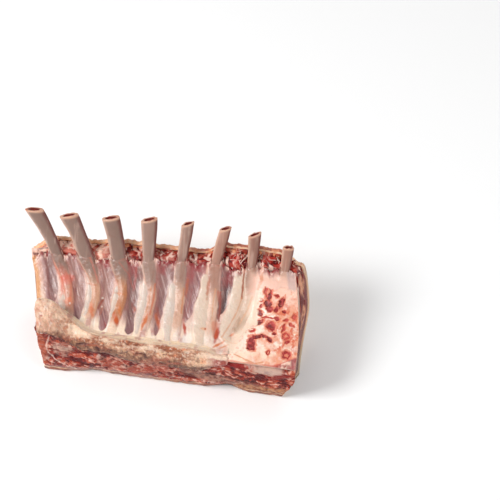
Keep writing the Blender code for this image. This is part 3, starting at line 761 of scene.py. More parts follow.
    # covered bones, then the fat beside them
    for k, tone in RIB_TONES.items():
        off, r = ridge[k]
        body = ease(0.0, 0.2, r) * (1.0 - 0.75 * (1.0 - ease(12.0, 22.0, s)))
        up = ease(38.0, 52.0, s + 2.0 * noise(at, 7.0, 57))
        fine = cloud(at * np.array([1.0, 0.12, 0.0]), 1.6, 3, 60 + k)
        shade = ease(0.75, 1.05, off) * (1.0 - ease(1.15, 1.45, off)) * ease(14.0, 26.0, s)
        groove = bump(off, -1.05, 0.14) * ease(16.0, 24.0, s) * (1.0 - ease(46.0, 56.0, s))
        tint = blend(
            tint,
            tone, 0.95 * body,
            bone_tone(k), body * up * (0.96 if k < 7 else 0.6),
            (150, 108, 94), body * 0.35 * ease(0.15, 0.55, fine),
            (236, 208, 192), body * 0.35 * ease(0.15, 0.55, -fine) * (1.0 - up),
            # painted highlight: a light line along each bone's left edge
            (212, 182, 168), 0.75 * bump(off, -0.95, 0.14) * up,
            (150, 88, 78), (0.45 if k < 7 else 0.3) * shade,
            (204, 140, 110), 0.45 * groove,
        )
    tint = blend(tint, (206, 132, 112), 0.8 * bump(ridge[1][0], -1.15, 0.3) * ease(28.0, 34.0, s))
    for k, p in pad_share.items():
        on_pad = ease(0.05, 0.3, p)
        tint = blend(
            tint,
            (215, 199, 188) if k < 6 else (222, 202, 186), 0.96 * on_pad,
            (222, 194, 174), 0.4 * spots(0.0, 0.5, streaks, 3.0, 3, 58) * on_pad,
        )
    lapped = blend((247, 224, 206), (246, 206, 190), ease(40.0, 52.0, s))
    # painted shade: a dark border round each window, stronger on its left side, where the bone's flank
    # falls into it
    pane_edge_shade = np.where(side > 0.0, 0.15, 0.4) * bump(away, -0.4, 1.1)
    tint = blend(
        tint,
        (214, 182, 160), 0.55 * ease(40.0, 50.0, x) * (1.0 - ease(40.0, 58.0, s)),
        lapped, 0.9 * ease(-9.0, -1.0, inner) * ease(38.0, 50.0, x),
        (198, 168, 166), 0.6 * bump(x - left, 7.0, 2.4) * ease(24.0, 32.0, s),
        pane_tone, np.where(side > 0.0, ease(0.3, 0.75, pane), ease(0.1, 0.95, pane)),
        (138, 84, 76), pane_edge_shade * ease(18.0, 30.0, s),
    )
    for px, ps, hw, hl, turn, tone, strength in MARKS:
        tint = blend(tint, tone, strength * patch(x, s, (px, ps), (hw, hl), turn, 0.55, 0.4, 80))
    for knots, width, tone, strength in LINES:
        tint = blend(tint, tone, strength * stroke(x, s, knots, width, 0.35, 81))
    # blood and torn membrane at the edge, outer fat at the left end, silverskin at the right end
    bare = 1.0 - ease(0.1, 0.5, crest)
    tint = blend(
        tint,
        (132, 34, 36), 0.95 * near_end * ease(-0.15, 0.2, rag) * bare,
        (240, 200, 186), 0.95 * near_end * ease(0.05, 0.3, -rag) * bare,
        (178, 92, 76), 0.6 * near_end * (1.0 - bare) * ease(-0.1, 0.25, rag),
        (236, 200, 184), 0.6 * near_end * (1.0 - bare) * ease(0.0, 0.3, -rag),
        (214, 158, 116), 0.92 * (1.0 - ease(1.6, 4.8, x - left + 2.0 * wob)),
        (190, 134, 112), 0.35 * bump(x - left, 5.6, 1.8),
        (206, 180, 174), 0.8 * silver_strip(x - right) * ease(38.0, 44.0, s),
    )

    y, z = section(s, -height)
    top = to_frame(x, y, z)
    rows = 5
    back_t = np.linspace(1.0, 0.0, rows)[None]
    s_b = mix(start, stop - 0.5, back_t)
    x_b = mix(left_edge(s_b, 1.0 + 0 * s_b) + 0.4, right_edge(s_b, 1.0 + 0 * s_b) - 0.4, u)
    y_b, z_b = section(s_b, 4.2 + 0 * s_b)
    rings = np.concatenate([top, to_frame(x_b, y_b, z_b)], 1)
    tint = np.concatenate([tint, np.broadcast_to(seen(150, 60, 52), x_b.shape + (3,))], 1)
    ob = closed_skin("hollow_side", rings, tint)
    return finish_piece(ob, silverskin, "white_fat", *["fat_pad_%d" % k for k in range(2, 8)])


def sawn_left(s):
    """Left border of the sawn bone: clear of bone 7, then spreading at the foot."""
    return mix(44.5, 57.0, ease(4.0, 30.0, s))


# the sawn plane's point nearest to the arc's centre: its arc distance and how far off the centre it is
PLATE_S, PLATE_REACH = 27.9, 66.8


def plate_height(s):
    """Height of the sawn plane over the arc, where a line through the arc's centre meets the plane."""
    return np.maximum(ARC_R - PLATE_REACH / np.cos(np.clip((s - PLATE_S) / ARC_R, -0.6, 0.6)), 0.0)


def silver_strip(x):
    """Strip of silverskin 1 to 7 mm in from the right end; x is 0 at the end."""
    return ease(-7.5, -5.5, x) * (1.0 - ease(-1.5, -0.5, x))


# sawn backbone
SAWN_LOW, SAWN_HIGH = (2.0, 41.0), (55.0, 62.0)
MARROW_SPOTS = [
    # x, s, half width, half length, turn in degrees, darkness, hollow centre
    (66.0, 51.0, 2.6, 5.2, 8, 0.55, 1),
    (67.5, 47.0, 1.3, 3.4, 8, 0.9, 0),
    (66.8, 42.5, 2.5, 2.4, 0, 1.0, 0),
    (68.8, 38.6, 2.4, 2.3, 0, 0.75, 0),
    (62.0, 44.5, 1.3, 1.3, 0, 0.6, 0),
    (62.5, 39.8, 1.1, 1.1, 0, 0.6, 0),
    (61.8, 35.2, 2.9, 1.9, -35, 0.85, 0),
    (72.2, 48.8, 1.7, 1.4, 0, 0.7, 0),
    (76.0, 44.0, 1.9, 4.4, -12, 1.0, 0),
    (73.2, 38.6, 1.1, 2.6, -8, 0.75, 0),
    (78.6, 37.4, 1.2, 1.2, 0, 0.8, 0),
    (62.6, 27.4, 3.4, 1.8, 32, 0.95, 0),
    (69.5, 31.6, 6.0, 0.5, 4, 0.6, 0),
    (74.6, 31.6, 1.8, 1.0, -20, 0.9, 0),
    (71.2, 25.2, 3.6, 3.4, 0, 0.75, 0),
    (70.6, 25.4, 2.0, 2.0, 0, 1.0, 0),
    (74.2, 20.0, 1.3, 1.8, 20, 0.9, 0),
    (58.6, 20.8, 1.7, 1.6, 0, 0.6, 0),
    (59.6, 11.0, 2.8, 5.2, 18, 0.8, 0),
    (59.0, 7.6, 1.8, 2.4, 10, 1.0, 0),
    (62.8, 16.0, 3.0, 1.8, 20, 1.0, 0),
    (67.4, 16.9, 3.4, 0.8, -10, 0.95, 0),
    (71.6, 14.4, 2.6, 1.3, -38, 1.0, 0),
    (80.0, 24.5, 0.9, 3.4, -14, 0.6, 0),
    (82.6, 19.0, 2.4, 2.6, 0, 0.55, 1),
    (84.2, 15.0, 2.0, 0.9, 10, 0.7, 0),
    (84.0, 5.6, 2.8, 3.0, 0, 0.75, 1),
    (71.6, 5.2, 1.1, 1.5, 0, 0.6, 1),
    (80.8, 31.0, 2.0, 0.8, 25, 0.5, 0),
    (85.5, 28.0, 2.6, 0.6, -30, 0.4, 0),
    (86.5, 35.0, 1.6, 1.8, 0, 0.35, 0),
]


def make_sawn_bone():
    """Flat sawn plane over the arc: stations across, points along; marrow spots are sunk 1 mm."""
    n, m = 190, 220
    v = np.linspace(0.0, 1.0, n)[:, None]
    t = np.linspace(0.0, 1.0, m)[None]
    y0, z0 = mix(SAWN_LOW[0], SAWN_HIGH[0], t), mix(SAWN_LOW[1], SAWN_HIGH[1], t)
    s, d = arc_of(y0, z0)
    edge = 1.0 - 0.85 * (1.0 - v) ** 6
    d = d * edge
    x = mix(sawn_left(s), right_edge(s, d) - 0.2, v)
    s = s + 0 * x
    at = np.stack([x, s, 0 * x], -1)
    warp_x = x + 0.7 * noise(at, 3.0, 201) + 0.3 * noise(at, 1.1, 202)
    warp_s = s + 0.7 * noise(at, 3.0, 203) + 0.3 * noise(at, 1.1, 204)
    fuzz = noise(at, 1.3, 205) + noise(at, 0.7, 206)
    hole = np.zeros_like(x)
    soft_hole = np.zeros_like(x)
    dark = np.zeros_like(x)
    for sx, ss, hw, hl, turn, darkness, hollow in MARROW_SPOTS:
        c, q = math.cos(math.radians(turn)), math.sin(math.radians(turn))
        a, b = warp_x - sx, warp_s - ss
        r = np.hypot((a * c + b * q) / (hw + 0.2), (b * c - a * q) / (hl + 0.2)) + 0.11 * fuzz
        spot = 1.0 - ease(0.72, 1.12, r)
        if hollow:
            spot = spot * ease(0.25, 0.6, r)
        hole = np.maximum(hole, spot)
        soft_hole = np.maximum(soft_hole, 1.0 - ease(0.7, 1.5, r))
        dark = np.maximum(dark, spot * darkness)
    pores = spots(0.45, 0.75, at, 2.0, 3, 210) * ease(58.0, 64.0, x)
    lip_round = np.maximum(1.0 - ease(0.0, 2.5, s - s.min()), ease(-2.5, 0.0, s - s.max()))
    lower_line = np.interp(x, [73.2, 81.1, 86.2, 90.6], [-3.6, -1.3, 1.4, 4.1])
    below = (1.0 - ease(-0.6, 0.2, s - lower_line)) * ease(72.0, 75.0, x)
    d = d + 1.0 * hole + 0.12 * pores + 0.9 * lip_round + 0.9 * below * cloud(at, 3.0, 3, 233)
    d = d + 0.35 * cloud(at, 9.0, 3, 211) * (1.0 - 0.5 * ease(57.0, 62.0, x)) + 0.06 * noise(at, 1.0, 212)

    halo = ease(0.0, 0.32, soft_hole + 0.25 * cloud(at, 1.6, 3, 229))
    low_edge = 1.0 - ease(0.1, 1.1, s - s.min() + 0.8 * noise(at, 4.0, 227))
    upper_line = [(48.8, 1.9), (56.9, -1.1), (64.1, -2.8), (69.4, -1.4)]
    lump = blend(
        (240, 208, 192),
        (184, 132, 126), spots(-0.2, 0.35, at, 3.0, 3, 233),
        (138, 44, 42), 0.9 * spots(-0.05, 0.2, at, 2.2, 3, 234) * (1.0 - ease(-2.4, -0.4, s)),
        (150, 66, 72), 0.8 * ease(86.5, 89.5, x + 1.5 * noise(at, 2.5, 235)),
    )
    strip = silver_strip(x - right_edge(s, d)) * ease(52.0, 56.0, s + 2.5 * noise(at, 3.0, 232))
    red_veins = ease(0.6, 0.95, veins(at, 5.0, 2, 226)) * ease(72.0, 80.0, x) * ease(14.0, 20.0, s)
    tint = blend(
        (253, 238, 224),
        (247, 214, 190), 0.75 * (1.0 - ease(0.0, 14.0, s)),
        (230, 172, 150), 0.9 * spots(-0.4, 0.25, at, 7.0, 4, 221) * ease(56.0, 64.0, x),
        (232, 166, 140), 0.85 * spots(-0.3, 0.2, at, 4.0, 4, 222) * ease(60.0, 72.0, x),
        (206, 104, 80), 0.85 * spots(0.05, 0.35, at, 2.2, 3, 223) * ease(66.0, 76.0, x)
            * ease(0.0, 12.0, s),
        (226, 150, 112), 0.7 * red_veins,
        (255, 248, 240), 0.3 * spots(0.1, 0.5, at, 3.0, 3, 225),
        (252, 212, 194), 0.9 * ease(36.0, 53.0, s + 2.0 * noise(at, 5.0, 228)),
        (247, 224, 206), 0.85 * (1.0 - ease(1.0, 9.0, x - sawn_left(s))),
        (206, 180, 174), 0.8 * strip,
        (218, 132, 110), 0.85 * halo,
        blend((186, 66, 66), (112, 12, 24), ease(0.5, 0.95, dark)),
        ease(0.25, 0.75, hole) * mix(0.6, 1.0, ease(0.3, 0.8, dark)),
        (206, 96, 92), 0.6 * ease(0.5, 0.9, hole) * ease(0.1, 0.5, noise(at, 1.6, 224)),
        (226, 150, 116), 0.5 * pores,
        (200, 108, 92), 0.7 * low_edge,
        (206, 132, 96), 0.7 * stroke(x, s, upper_line, 0.5, 0.4, 231),
        lump, 0.92 * below,
        (196, 96, 88), 0.75 * bump(s, lower_line, 0.45) * ease(72.0, 75.0, x),
    )

    y, z = section(s, d)
    top = to_frame(x, y, z)
    rows = 9
    tb = np.linspace(1.0, 0.0, rows)[None]
    s_b = mix(float(arc_of(*SAWN_LOW)[0]) + 0.8, float(arc_of(*SAWN_HIGH)[0]) - 1.0, tb) + 0 * v
    d_b = 4.0 * (0.55 + 0.45 * np.sin(np.pi * np.clip(tb, 0.08, 0.92))) + 0 * v
    x_b = mix(sawn_left(s_b), right_edge(s_b, d_b) - 0.2, v)
    y_b, z_b = section(s_b, d_b)
    rings = np.concatenate([top, to_frame(x_b, y_b, z_b)], 1)
    tint = np.concatenate([tint, np.broadcast_to(seen(240, 214, 196), x_b.shape + (3,))], 1)
    ob = closed_skin("sawn_backbone", rings, tint)
    return finish_piece(ob, sawn, "sawn_bone", "sawn_bone")


# ridge of gristle along the front
def smooth_loop(points, count):
    """Closed smooth curve through control points (stations, controls, 2): cubic with slopes from
    the neighbours, pulled part of the way to the straight line between them."""
    k = points.shape[1]
    t = np.arange(count) / count * k
    i = np.floor(t).astype(int)
    q = (t - i)[None, :, None]
    p0, p1, p2, p3 = (points[:, (i + o) % k] for o in (-1, 0, 1, 2))
    curve = 0.5 * (2 * p1 + (p2 - p0) * q + (2 * p0 - 5 * p1 + 4 * p2 - p3) * q ** 2
        + (3 * p1 - p0 - 3 * p2 + p3) * q ** 3)
    return mix(mix(p1, p2, q), curve, 0.6)


def ridge_controls(x):
    """Outline of the ridge at each x: foot, front, top, back and underside."""
    lip_y, lip_z = lip(x)
    foot = ridge_foot(x)
    thin = 1.0 - 0.45 * ease(26.0, 44.0, x)
    back_s = arc_of(lip_y + 9.0 * thin, 40.0)[0]
    back_y, back_z = section(back_s, 0.6)
    under_y, under_z = section(back_s - 2.0, 6.5)
    front = -1.2 + 2.2 * ease(28.0, 44.0, x)
    pairs = [
        (front + 0.6, foot),
        (front, mix(foot, lip_z, 0.25)),
        (mix(front, lip_y, 0.35), mix(foot, lip_z, 0.62)),
        (mix(front, lip_y, 0.72), mix(foot, lip_z, 0.90)),
        (lip_y, lip_z),
        (lip_y + 2.6, lip_z - 1.0),
        (mix(lip_y, back_y, 0.72), mix(lip_z, back_z, 0.70)),
        (back_y, back_z),
        (under_y, under_z),
        (mix(under_y, front + 0.6, 0.5), mix(under_z, foot, 0.5) - 0.6),
    ]
    return np.stack([np.stack(p, -1) for p in pairs], 1)


def make_ridge():
    """The outline carried along the front, roughened by noise; cream at the crest with a painted
    highlight along it, grey-brown with dark splits at the foot, deepened there by painted shade, a curl
    of cartilage on the left mound."""
    n, m = 420, 150
    x = np.linspace(-92.0, 45.2, n)
    loop = smooth_loop(ridge_controls(x), m)
    y, z = loop[..., 0], loop[..., 1]
    x = x[:, None] + 0 * y
    x = x + 3.4 * (1.0 - ease(-92.0, -72.0, x)) * np.clip((13.0 - y) / 12.0, 0, 1)
    mid_y, mid_z = y.mean(1, keepdims=True), z.mean(1, keepdims=True)
    out_y, out_z = y - mid_y, z - mid_z
    size = np.hypot(out_y, out_z)
    at = np.stack([x, y, z], -1)
    long_at = at * np.array([0.4, 1.0, 1.0])
    share = np.clip((z - ridge_foot(x)) / (lip(x)[1] - ridge_foot(x)), 0.0, 1.0)
    behind = ease(lip(x)[0] - 0.3, lip(x)[0] + 2.2, y)
    mound = 1.0 - ease(-80.0, -60.0, x)
    reach = share + 0.16 * cloud(long_at, 6.0, 3, 312) + 0.35 * mound + 0.3 * ease(5.0, 26.0, x)
    low = 1.0 - ease(0.42, 0.74, reach)
    lump = 0.9 * cloud(long_at, 6.0, 4, 301) + 0.9 * cloud(at, 2.2, 3, 302) * (1.0 - 0.7 * behind)
    # splits sink into the ridge; the near-black laid in them is dark meat deepened as painted shade
    split = spots(0.22, 0.5, warped(long_at, 5.0, 1.6, 330), 3.0, 3, 303) * low * (1.0 - behind)
    crest_line = bump(y, lip(x)[0] - 0.2, 1.5) * bump(z, lip(x)[1], 3.0)
    lump = lump - 1.4 * split + 0.5 * crest_line
    curl_r = np.hypot((x + 84.5) * 1.1, (z - 49.0) * 0.9)
    curl = np.sin(1.9 * curl_r + 5.0 * cloud(at, 4.0, 3, 317) + np.arctan2(z - 49.0, x + 84.5))
    on_curl = (1.0 - ease(7.5, 11.0, curl_r)) * (1.0 - behind)
    lump = lump + 0.15 * curl * on_curl
    scale = 1.0 + lump / np.maximum(size, 3.0)
    tip = np.clip(np.minimum(np.arange(n) / 10.0, np.arange(n)[::-1] / 16.0), 0.0, 1.0)[:, None]
    round_end = mix(0.6, 1.0, np.sqrt(1.0 - (1.0 - tip) ** 2))
    y, z = mid_y + out_y * scale * round_end, mid_z + out_z * scale * round_end

    left_part = 1.0 - ease(8.0, 30.0, x)
    tone = 1.7 * cloud(warped(long_at, 6.0, 1.5, 340), 4.0, 4, 313, 0.65)
    ragged = 1.9 * cloud(warped(at, 3.0, 0.8, 350), 1.8, 3, 342, 0.65)
    lower = blend(
        (132, 92, 74),
        (194, 150, 122), 0.9 * ease(0.15, 0.7, ragged),
        (80, 48, 42), 0.95 * ease(0.15, 0.7, -ragged),
        (172, 78, 62), (0.5 - 0.35 * mound) * spots(0.1, 0.4, long_at, 4.0, 3, 343),
    )
    # painted shade: near-black spots along the ridge's foot, in the crease where it meets the meat
    foot_crease_shade = bump(z, ridge_foot(x) + 1.5, 2.2) * (1.0 - behind) * (1.0 - ease(20.0, 34.0, x))
    # painted highlight: pale cream along the crest, over the cream of the fat
    crest_highlight = bump(z, lip(x)[1] - 1.2, 2.0) * (1.0 - behind)
    broken = on_curl * ease(-0.1, 0.5, noise(at, 3.2, 355))
    web = blend(
        (255, 232, 206),
        (196, 150, 144), 0.7 * spots(0.1, 0.45, at * np.array([1.0, 0.5, 0.5]), 4.0, 3, 347),
        (244, 228, 216), 0.6 * spots(0.1, 0.5, at, 3.0, 3, 348),
    )
    # painted shade: a dark line in the seam behind the crest, where the ridge meets the membrane
    seam_y = lip(x)[0] + 2.6 + 1.6 * noise(at, 7.0, 349)
    seam_shade_line = bump(y, seam_y, 0.5) * ease(-0.2, 0.4, noise(at, 5.0, 353))
    near_plate = ease(26.0, 38.0, x) * (1.0 - 0.6 * low)
    end_cut = ease(30.0, 38.0, x + 3.0 * ragged) * (1.0 - ease(-3.2, -1.0, z - lip(x)[1] + 1.2 * tone))
    tint = blend(
        (238, 200, 174),
        (184, 134, 110), left_part,
        (240, 204, 174), (1.0 - 0.25 * left_part) * ease(0.05, 0.45, tone),
        (158, 98, 72), (0.6 + 0.3 * left_part) * ease(0.02, 0.4, -tone),
        (222, 140, 104), (0.6 - 0.35 * mound) * spots(0.15, 0.45, at, 3.0, 3, 341),
        (252, 232, 212), (0.7 - 0.2 * left_part) * ease(0.25, 0.8, ragged),
        (116, 66, 50), (0.55 + 0.3 * left_part) * ease(0.25, 0.8, -ragged),
        (112, 66, 54), (0.35 + 0.15 * left_part) * spots(0.3, 0.6, at, 1.4, 2, 351),
        (168, 104, 78), 0.5 * ease(0.7, 0.95, veins(at * np.array([0.6, 1.0, 1.0]), 5.0, 3, 352)),
        lower, 0.92 * low,
        (60, 28, 26), 0.85 * foot_crease_shade * spots(0.0, 0.35, at, 1.6, 3, 354),
        (70, 22, 24), 0.92 * split,
        (248, 222, 200), 0.75 * crest_highlight * ease(-0.4, 0.3, tone),
        (250, 230, 214), (0.5 - 0.25 * mound) * spots(0.3, 0.55, at, 1.3, 2, 344) * (1.0 - low),
        (226, 188, 166), 0.6 * mound * (1.0 - low),
        (250, 234, 224), 0.6 * broken * ease(0.0, 0.6, curl),
        (196, 112, 100), 0.5 * broken * ease(0.1, 0.8, -curl),
        (150, 60, 58), 0.75 * on_curl * spots(0.42, 0.62, at, 1.6, 2, 345),
        (206, 140, 122), 0.35 * mound * spots(0.25, 0.5, at, 2.6, 3, 346),
        web, 0.95 * behind,
        (182, 122, 104), 0.6 * seam_shade_line,
        (247, 220, 200), 0.92 * near_plate * ease(-1.2, 0.0, ragged),
        blend((150, 56, 50), (206, 160, 150), ease(0.0, 0.6, ragged)), 0.9 * end_cut,
    )
    ob = closed_skin("backbone_ridge", to_frame(x, y, z), tint)
    return finish_piece(ob, gristle, "gristle", "chine_ridge")


# lean meat
def meat_outline(u):
    """Section of the meat at stations u: start behind the ridge, along the hollow, up the bare face
    to the rim, down inside the fat, along the floor and up the front. Columns: y, z, part mark."""
    x = mix(LEFT_X, RIGHT_X, u)
    lip_y = lip(np.minimum(x, 44.0))[0]
    controls = ridge_controls(np.minimum(x[:, 0], 44.0))
    foot, mid = controls[:, 0], controls.mean(1)
    plain = ease(44.0, 48.0, x)
    corner_y = mix((foot[:, 0] + (mid[:, 0] - foot[:, 0]) * 0.22)[:, None], 1.6, plain)
    corner_z = mix((foot[:, 1] + (mid[:, 1] - foot[:, 1]) * 0.22)[:, None], 34.0, plain)
    start = mix(arc_of(lip_y + 4.5, 40.0)[0], 2.5, plain)
    last = french_line(u)
    rim = rim_line(u)

    def span(count, end=False):
        return np.linspace(0.0, 1.0, count, endpoint=end)[None]

    t = span(34)
    hollow_s = mix(start, last - 1.0, t)
    hollow = section(hollow_s, SKIN_DEPTH + 0.9 + 0 * hollow_s)
    t = span(46)
    face_d = back_depth(rim - 1.2) - cap_thickness(rim) - 0.35
    face_s = mix(last - 1.0, rim - 1.0, t)
    face_depth = mix(SKIN_DEPTH + 0.9, face_d, ease(0.0, 1.0, t) * 0.5 + t * 0.5)
    face = section(face_s, face_depth)
    t = span(30)
    outer_s = mix(rim - 1.0, FRONT_S + 0.4, t)
    outer = section(outer_s, back_depth(outer_s) - cap_thickness(outer_s) - 0.35)
    t = span(76)
    front_z = mix(CAP_THICK + 0.35, corner_z, t)
    front = (mix(front_y(u, front_z), corner_y, t * t), front_z)
    t = span(6, False)
    end_y, end_z = section(start, SKIN_DEPTH + 0.9 + 0 * start)
    top = (mix(corner_y, end_y, t), mix(corner_z, end_z, t))
    parts = [hollow, face, outer, front, top]
    y = np.concatenate([np.broadcast_arrays(p[0], p[1] * 1.0)[0] for p in parts], 1)
    z = np.concatenate([np.broadcast_arrays(p[0], p[1] * 1.0)[1] for p in parts], 1)
    mark = np.concatenate([np.full(p[1].shape[1], float(i)) for i, p in enumerate(parts)])
    return y, z, mark


def raw_meat(at, seed, stretch, size=5.0):
    """Torn raw meat: curled clouds of dark red, brick red and pale pink, with thin white seams.
    Gives the tint and how far it stands out."""
    p = warped(at * np.array(stretch), 8.0, 3.6, seed)
    lump = 2.8 * cloud(p, size, 4, seed + 21, 0.6)
    drawn = warped(p, 4.0, 2.0, seed + 25) * np.array([0.8, 1.0, 1.3])
    fibre = 2.8 * cloud(drawn, 2.4, 3, seed + 22, 0.55)
    seam = ease(0.62, 0.94, veins(p, 8.0, 3, seed + 23)) * ease(0.1, 0.5, noise(p, 4.5, seed + 24))
    tint = blend(
        (160, 64, 52),
        (192, 102, 82), 0.9 * ease(0.05, 0.6, lump),
        (84, 18, 20), 0.95 * ease(0.1, 0.7, -lump),
        (234, 192, 176), 0.9 * ease(0.3, 0.9, fibre) * ease(-0.5, 0.2, lump),
        (96, 20, 20), 0.85 * ease(0.2, 0.75, -fibre),
        (238, 208, 196), 0.6 * seam,
    )
    return tint, 0.45 * lump + 0.26 * fibre + 0.3 * seam


LOBES = [(-40.0, 19.5), (-34.0, 17.5), (-22.0, 12.5), (-11.0, 15.0), (-1.0, 19.0)]


def lobes(x, z, grow=0.0):
    """1 on the smooth rounded lobes of muscle along the front, by their x and z."""
    half = (3.9 + grow, 5.6 + grow)
    return np.max([patch(x, z, place, half, -8, 0.35, 0.75, 480) for place in LOBES], 0)


def front_paint(at, tint):
    """Front of the meat: grey-purple skin low on the left, tan lumps low on the right, pale
    membranes and dark cuts under the sawn bone, and a curl of muscle at the left."""
    x, z = at[..., 0], at[..., 2]
    soft = cloud(warped(at * np.array([0.4, 1.0, 1.0]), 5.0, 1.5, 450), 3.0, 3, 451, 0.6)
    reach = z + 2.2 * cloud(at * np.array([0.3, 1.0, 1.0]), 7.0, 3, 452)
    skin = blend(
        (172, 128, 124),
        (204, 168, 160), ease(0.05, 0.4, soft),
        (134, 76, 74), 0.85 * ease(0.05, 0.4, -soft),
    )
    on_skin = (1.0 - ease(5.0, 9.5, reach)) * (1.0 - ease(-14.0, 2.0, x)) * ease(-90.0, -82.0, x)
    inner = lobes(x, z)
    # left: rounded muscle at the corner, a pale curl, a white seam running down to the right
    corner = patch(x, z, (-88.0, 30.0), (5.0, 17.0), 4, 0.3, 0.3, 460)
    layered = patch(x, z, (-71.5, 30.0), (7.5, 7.5), 15, 0.3, 0.4, 462)
    folded = warped(at * np.array([0.45, 1.0, 1.2]), 4.0, 1.0, 465)
    seam = [(-80.0, 41.5), (-83.5, 30.0), (-82.5, 22.5), (-79.0, 16.5), (-73.0, 10.5), (-67.0, 5.5),
        (-56.0, 3.0)]
    # painted shade: knots of a dark line along the crease under the ridge's foot
    dark = [(-90.0, 44.0), (-84.0, 46.5), (-79.5, 44.5), (-76.0, 39.0), (-63.0, 37.5), (-59.0, 31.5),
            (-46.0, 30.0), (-34.0, 29.0), (-26.0, 27.0)]
    # right: grey-brown membrane running down to the right, an oval of pale skin, tan lumps at the foot
    membrane = bump(z, 24.0 - 0.22 * x, 4.2) * ease(4.0, 18.0, x) * (1.0 - ease(72.0, 84.0, x))
    oval = patch(x, z, (73.0, 33.0), (11.0, 4.2), -4, 0.3, 0.25, 474)
    cut = [(30.0, 21.5), (40.0, 20.0), (52.0, 18.0), (64.0, 17.5)]
    return blend(
        tint,
        skin, 0.9 * on_skin,
        (222, 180, 164), 0.85 * np.clip(lobes(x, z, 1.3) - inner, 0.0, 1.0),
        (164, 76, 58), 0.65 * inner,
        (176, 96, 76), 0.75 * corner,
        (206, 154, 140), 0.5 * corner * spots(0.1, 0.5, at * np.array([0.5, 1.0, 2.0]), 2.0, 2, 461),
        blend((222, 190, 174), (146, 92, 80), spots(-0.2, 0.25, folded, 2.4, 3, 466)), 0.7 * layered,
        (110, 40, 36), 0.8 * layered * spots(0.15, 0.35, at, 2.6, 3, 467),
        (232, 202, 190), 0.8 * stroke(x, z, seam, 0.6, 0.5, 463),
        # painted shade along the crease under the ridge's foot
        (74, 18, 20), 0.9 * stroke(x, z, dark, 1.5, 0.6, 464),
        blend((180, 136, 120), (124, 84, 76), ease(-0.25, 0.3, soft)),
        0.9 * np.clip(membrane * 1.4, 0, 1),
        (210, 176, 156), 0.5 * membrane
            * ease(0.72, 0.98, veins(at * np.array([0.25, 1.0, 1.0]), 4.0, 3, 470)),
        (64, 30, 30), 0.8 * stroke(x, z, cut, 0.9, 0.6, 471),
        (142, 46, 46), 0.9 * patch(x, z, (47.0, 34.5), (11.0, 2.6), -3, 0.3, 0.3, 472),
        (206, 170, 166), 0.8 * stroke(x, z, [(43.0, 38.5), (52.0, 38.0), (60.0, 35.0)], 1.0, 0.4, 473),
        (212, 182, 168), 0.92 * oval,
        (178, 148, 146), 0.6 * oval * spots(0.0, 0.4, at, 4.0, 3, 475),
        (132, 40, 38), 0.92 * patch(x, z, (81.0, 28.0), (7.0, 2.8), 20, 0.3, 0.4, 476),
        (176, 84, 78), 0.8 * stroke(x, z, [(60.0, 38.5), (74.0, 38.0), (88.0, 40.5)], 0.8, 0.4, 477),
        blend((200, 148, 116), (144, 88, 68), spots(-0.2, 0.3, at, 2.2, 3, 478)),
        0.92 * ease(44.0, 56.0, x) * (1.0 - ease(11.0, 15.0, reach)),
    )


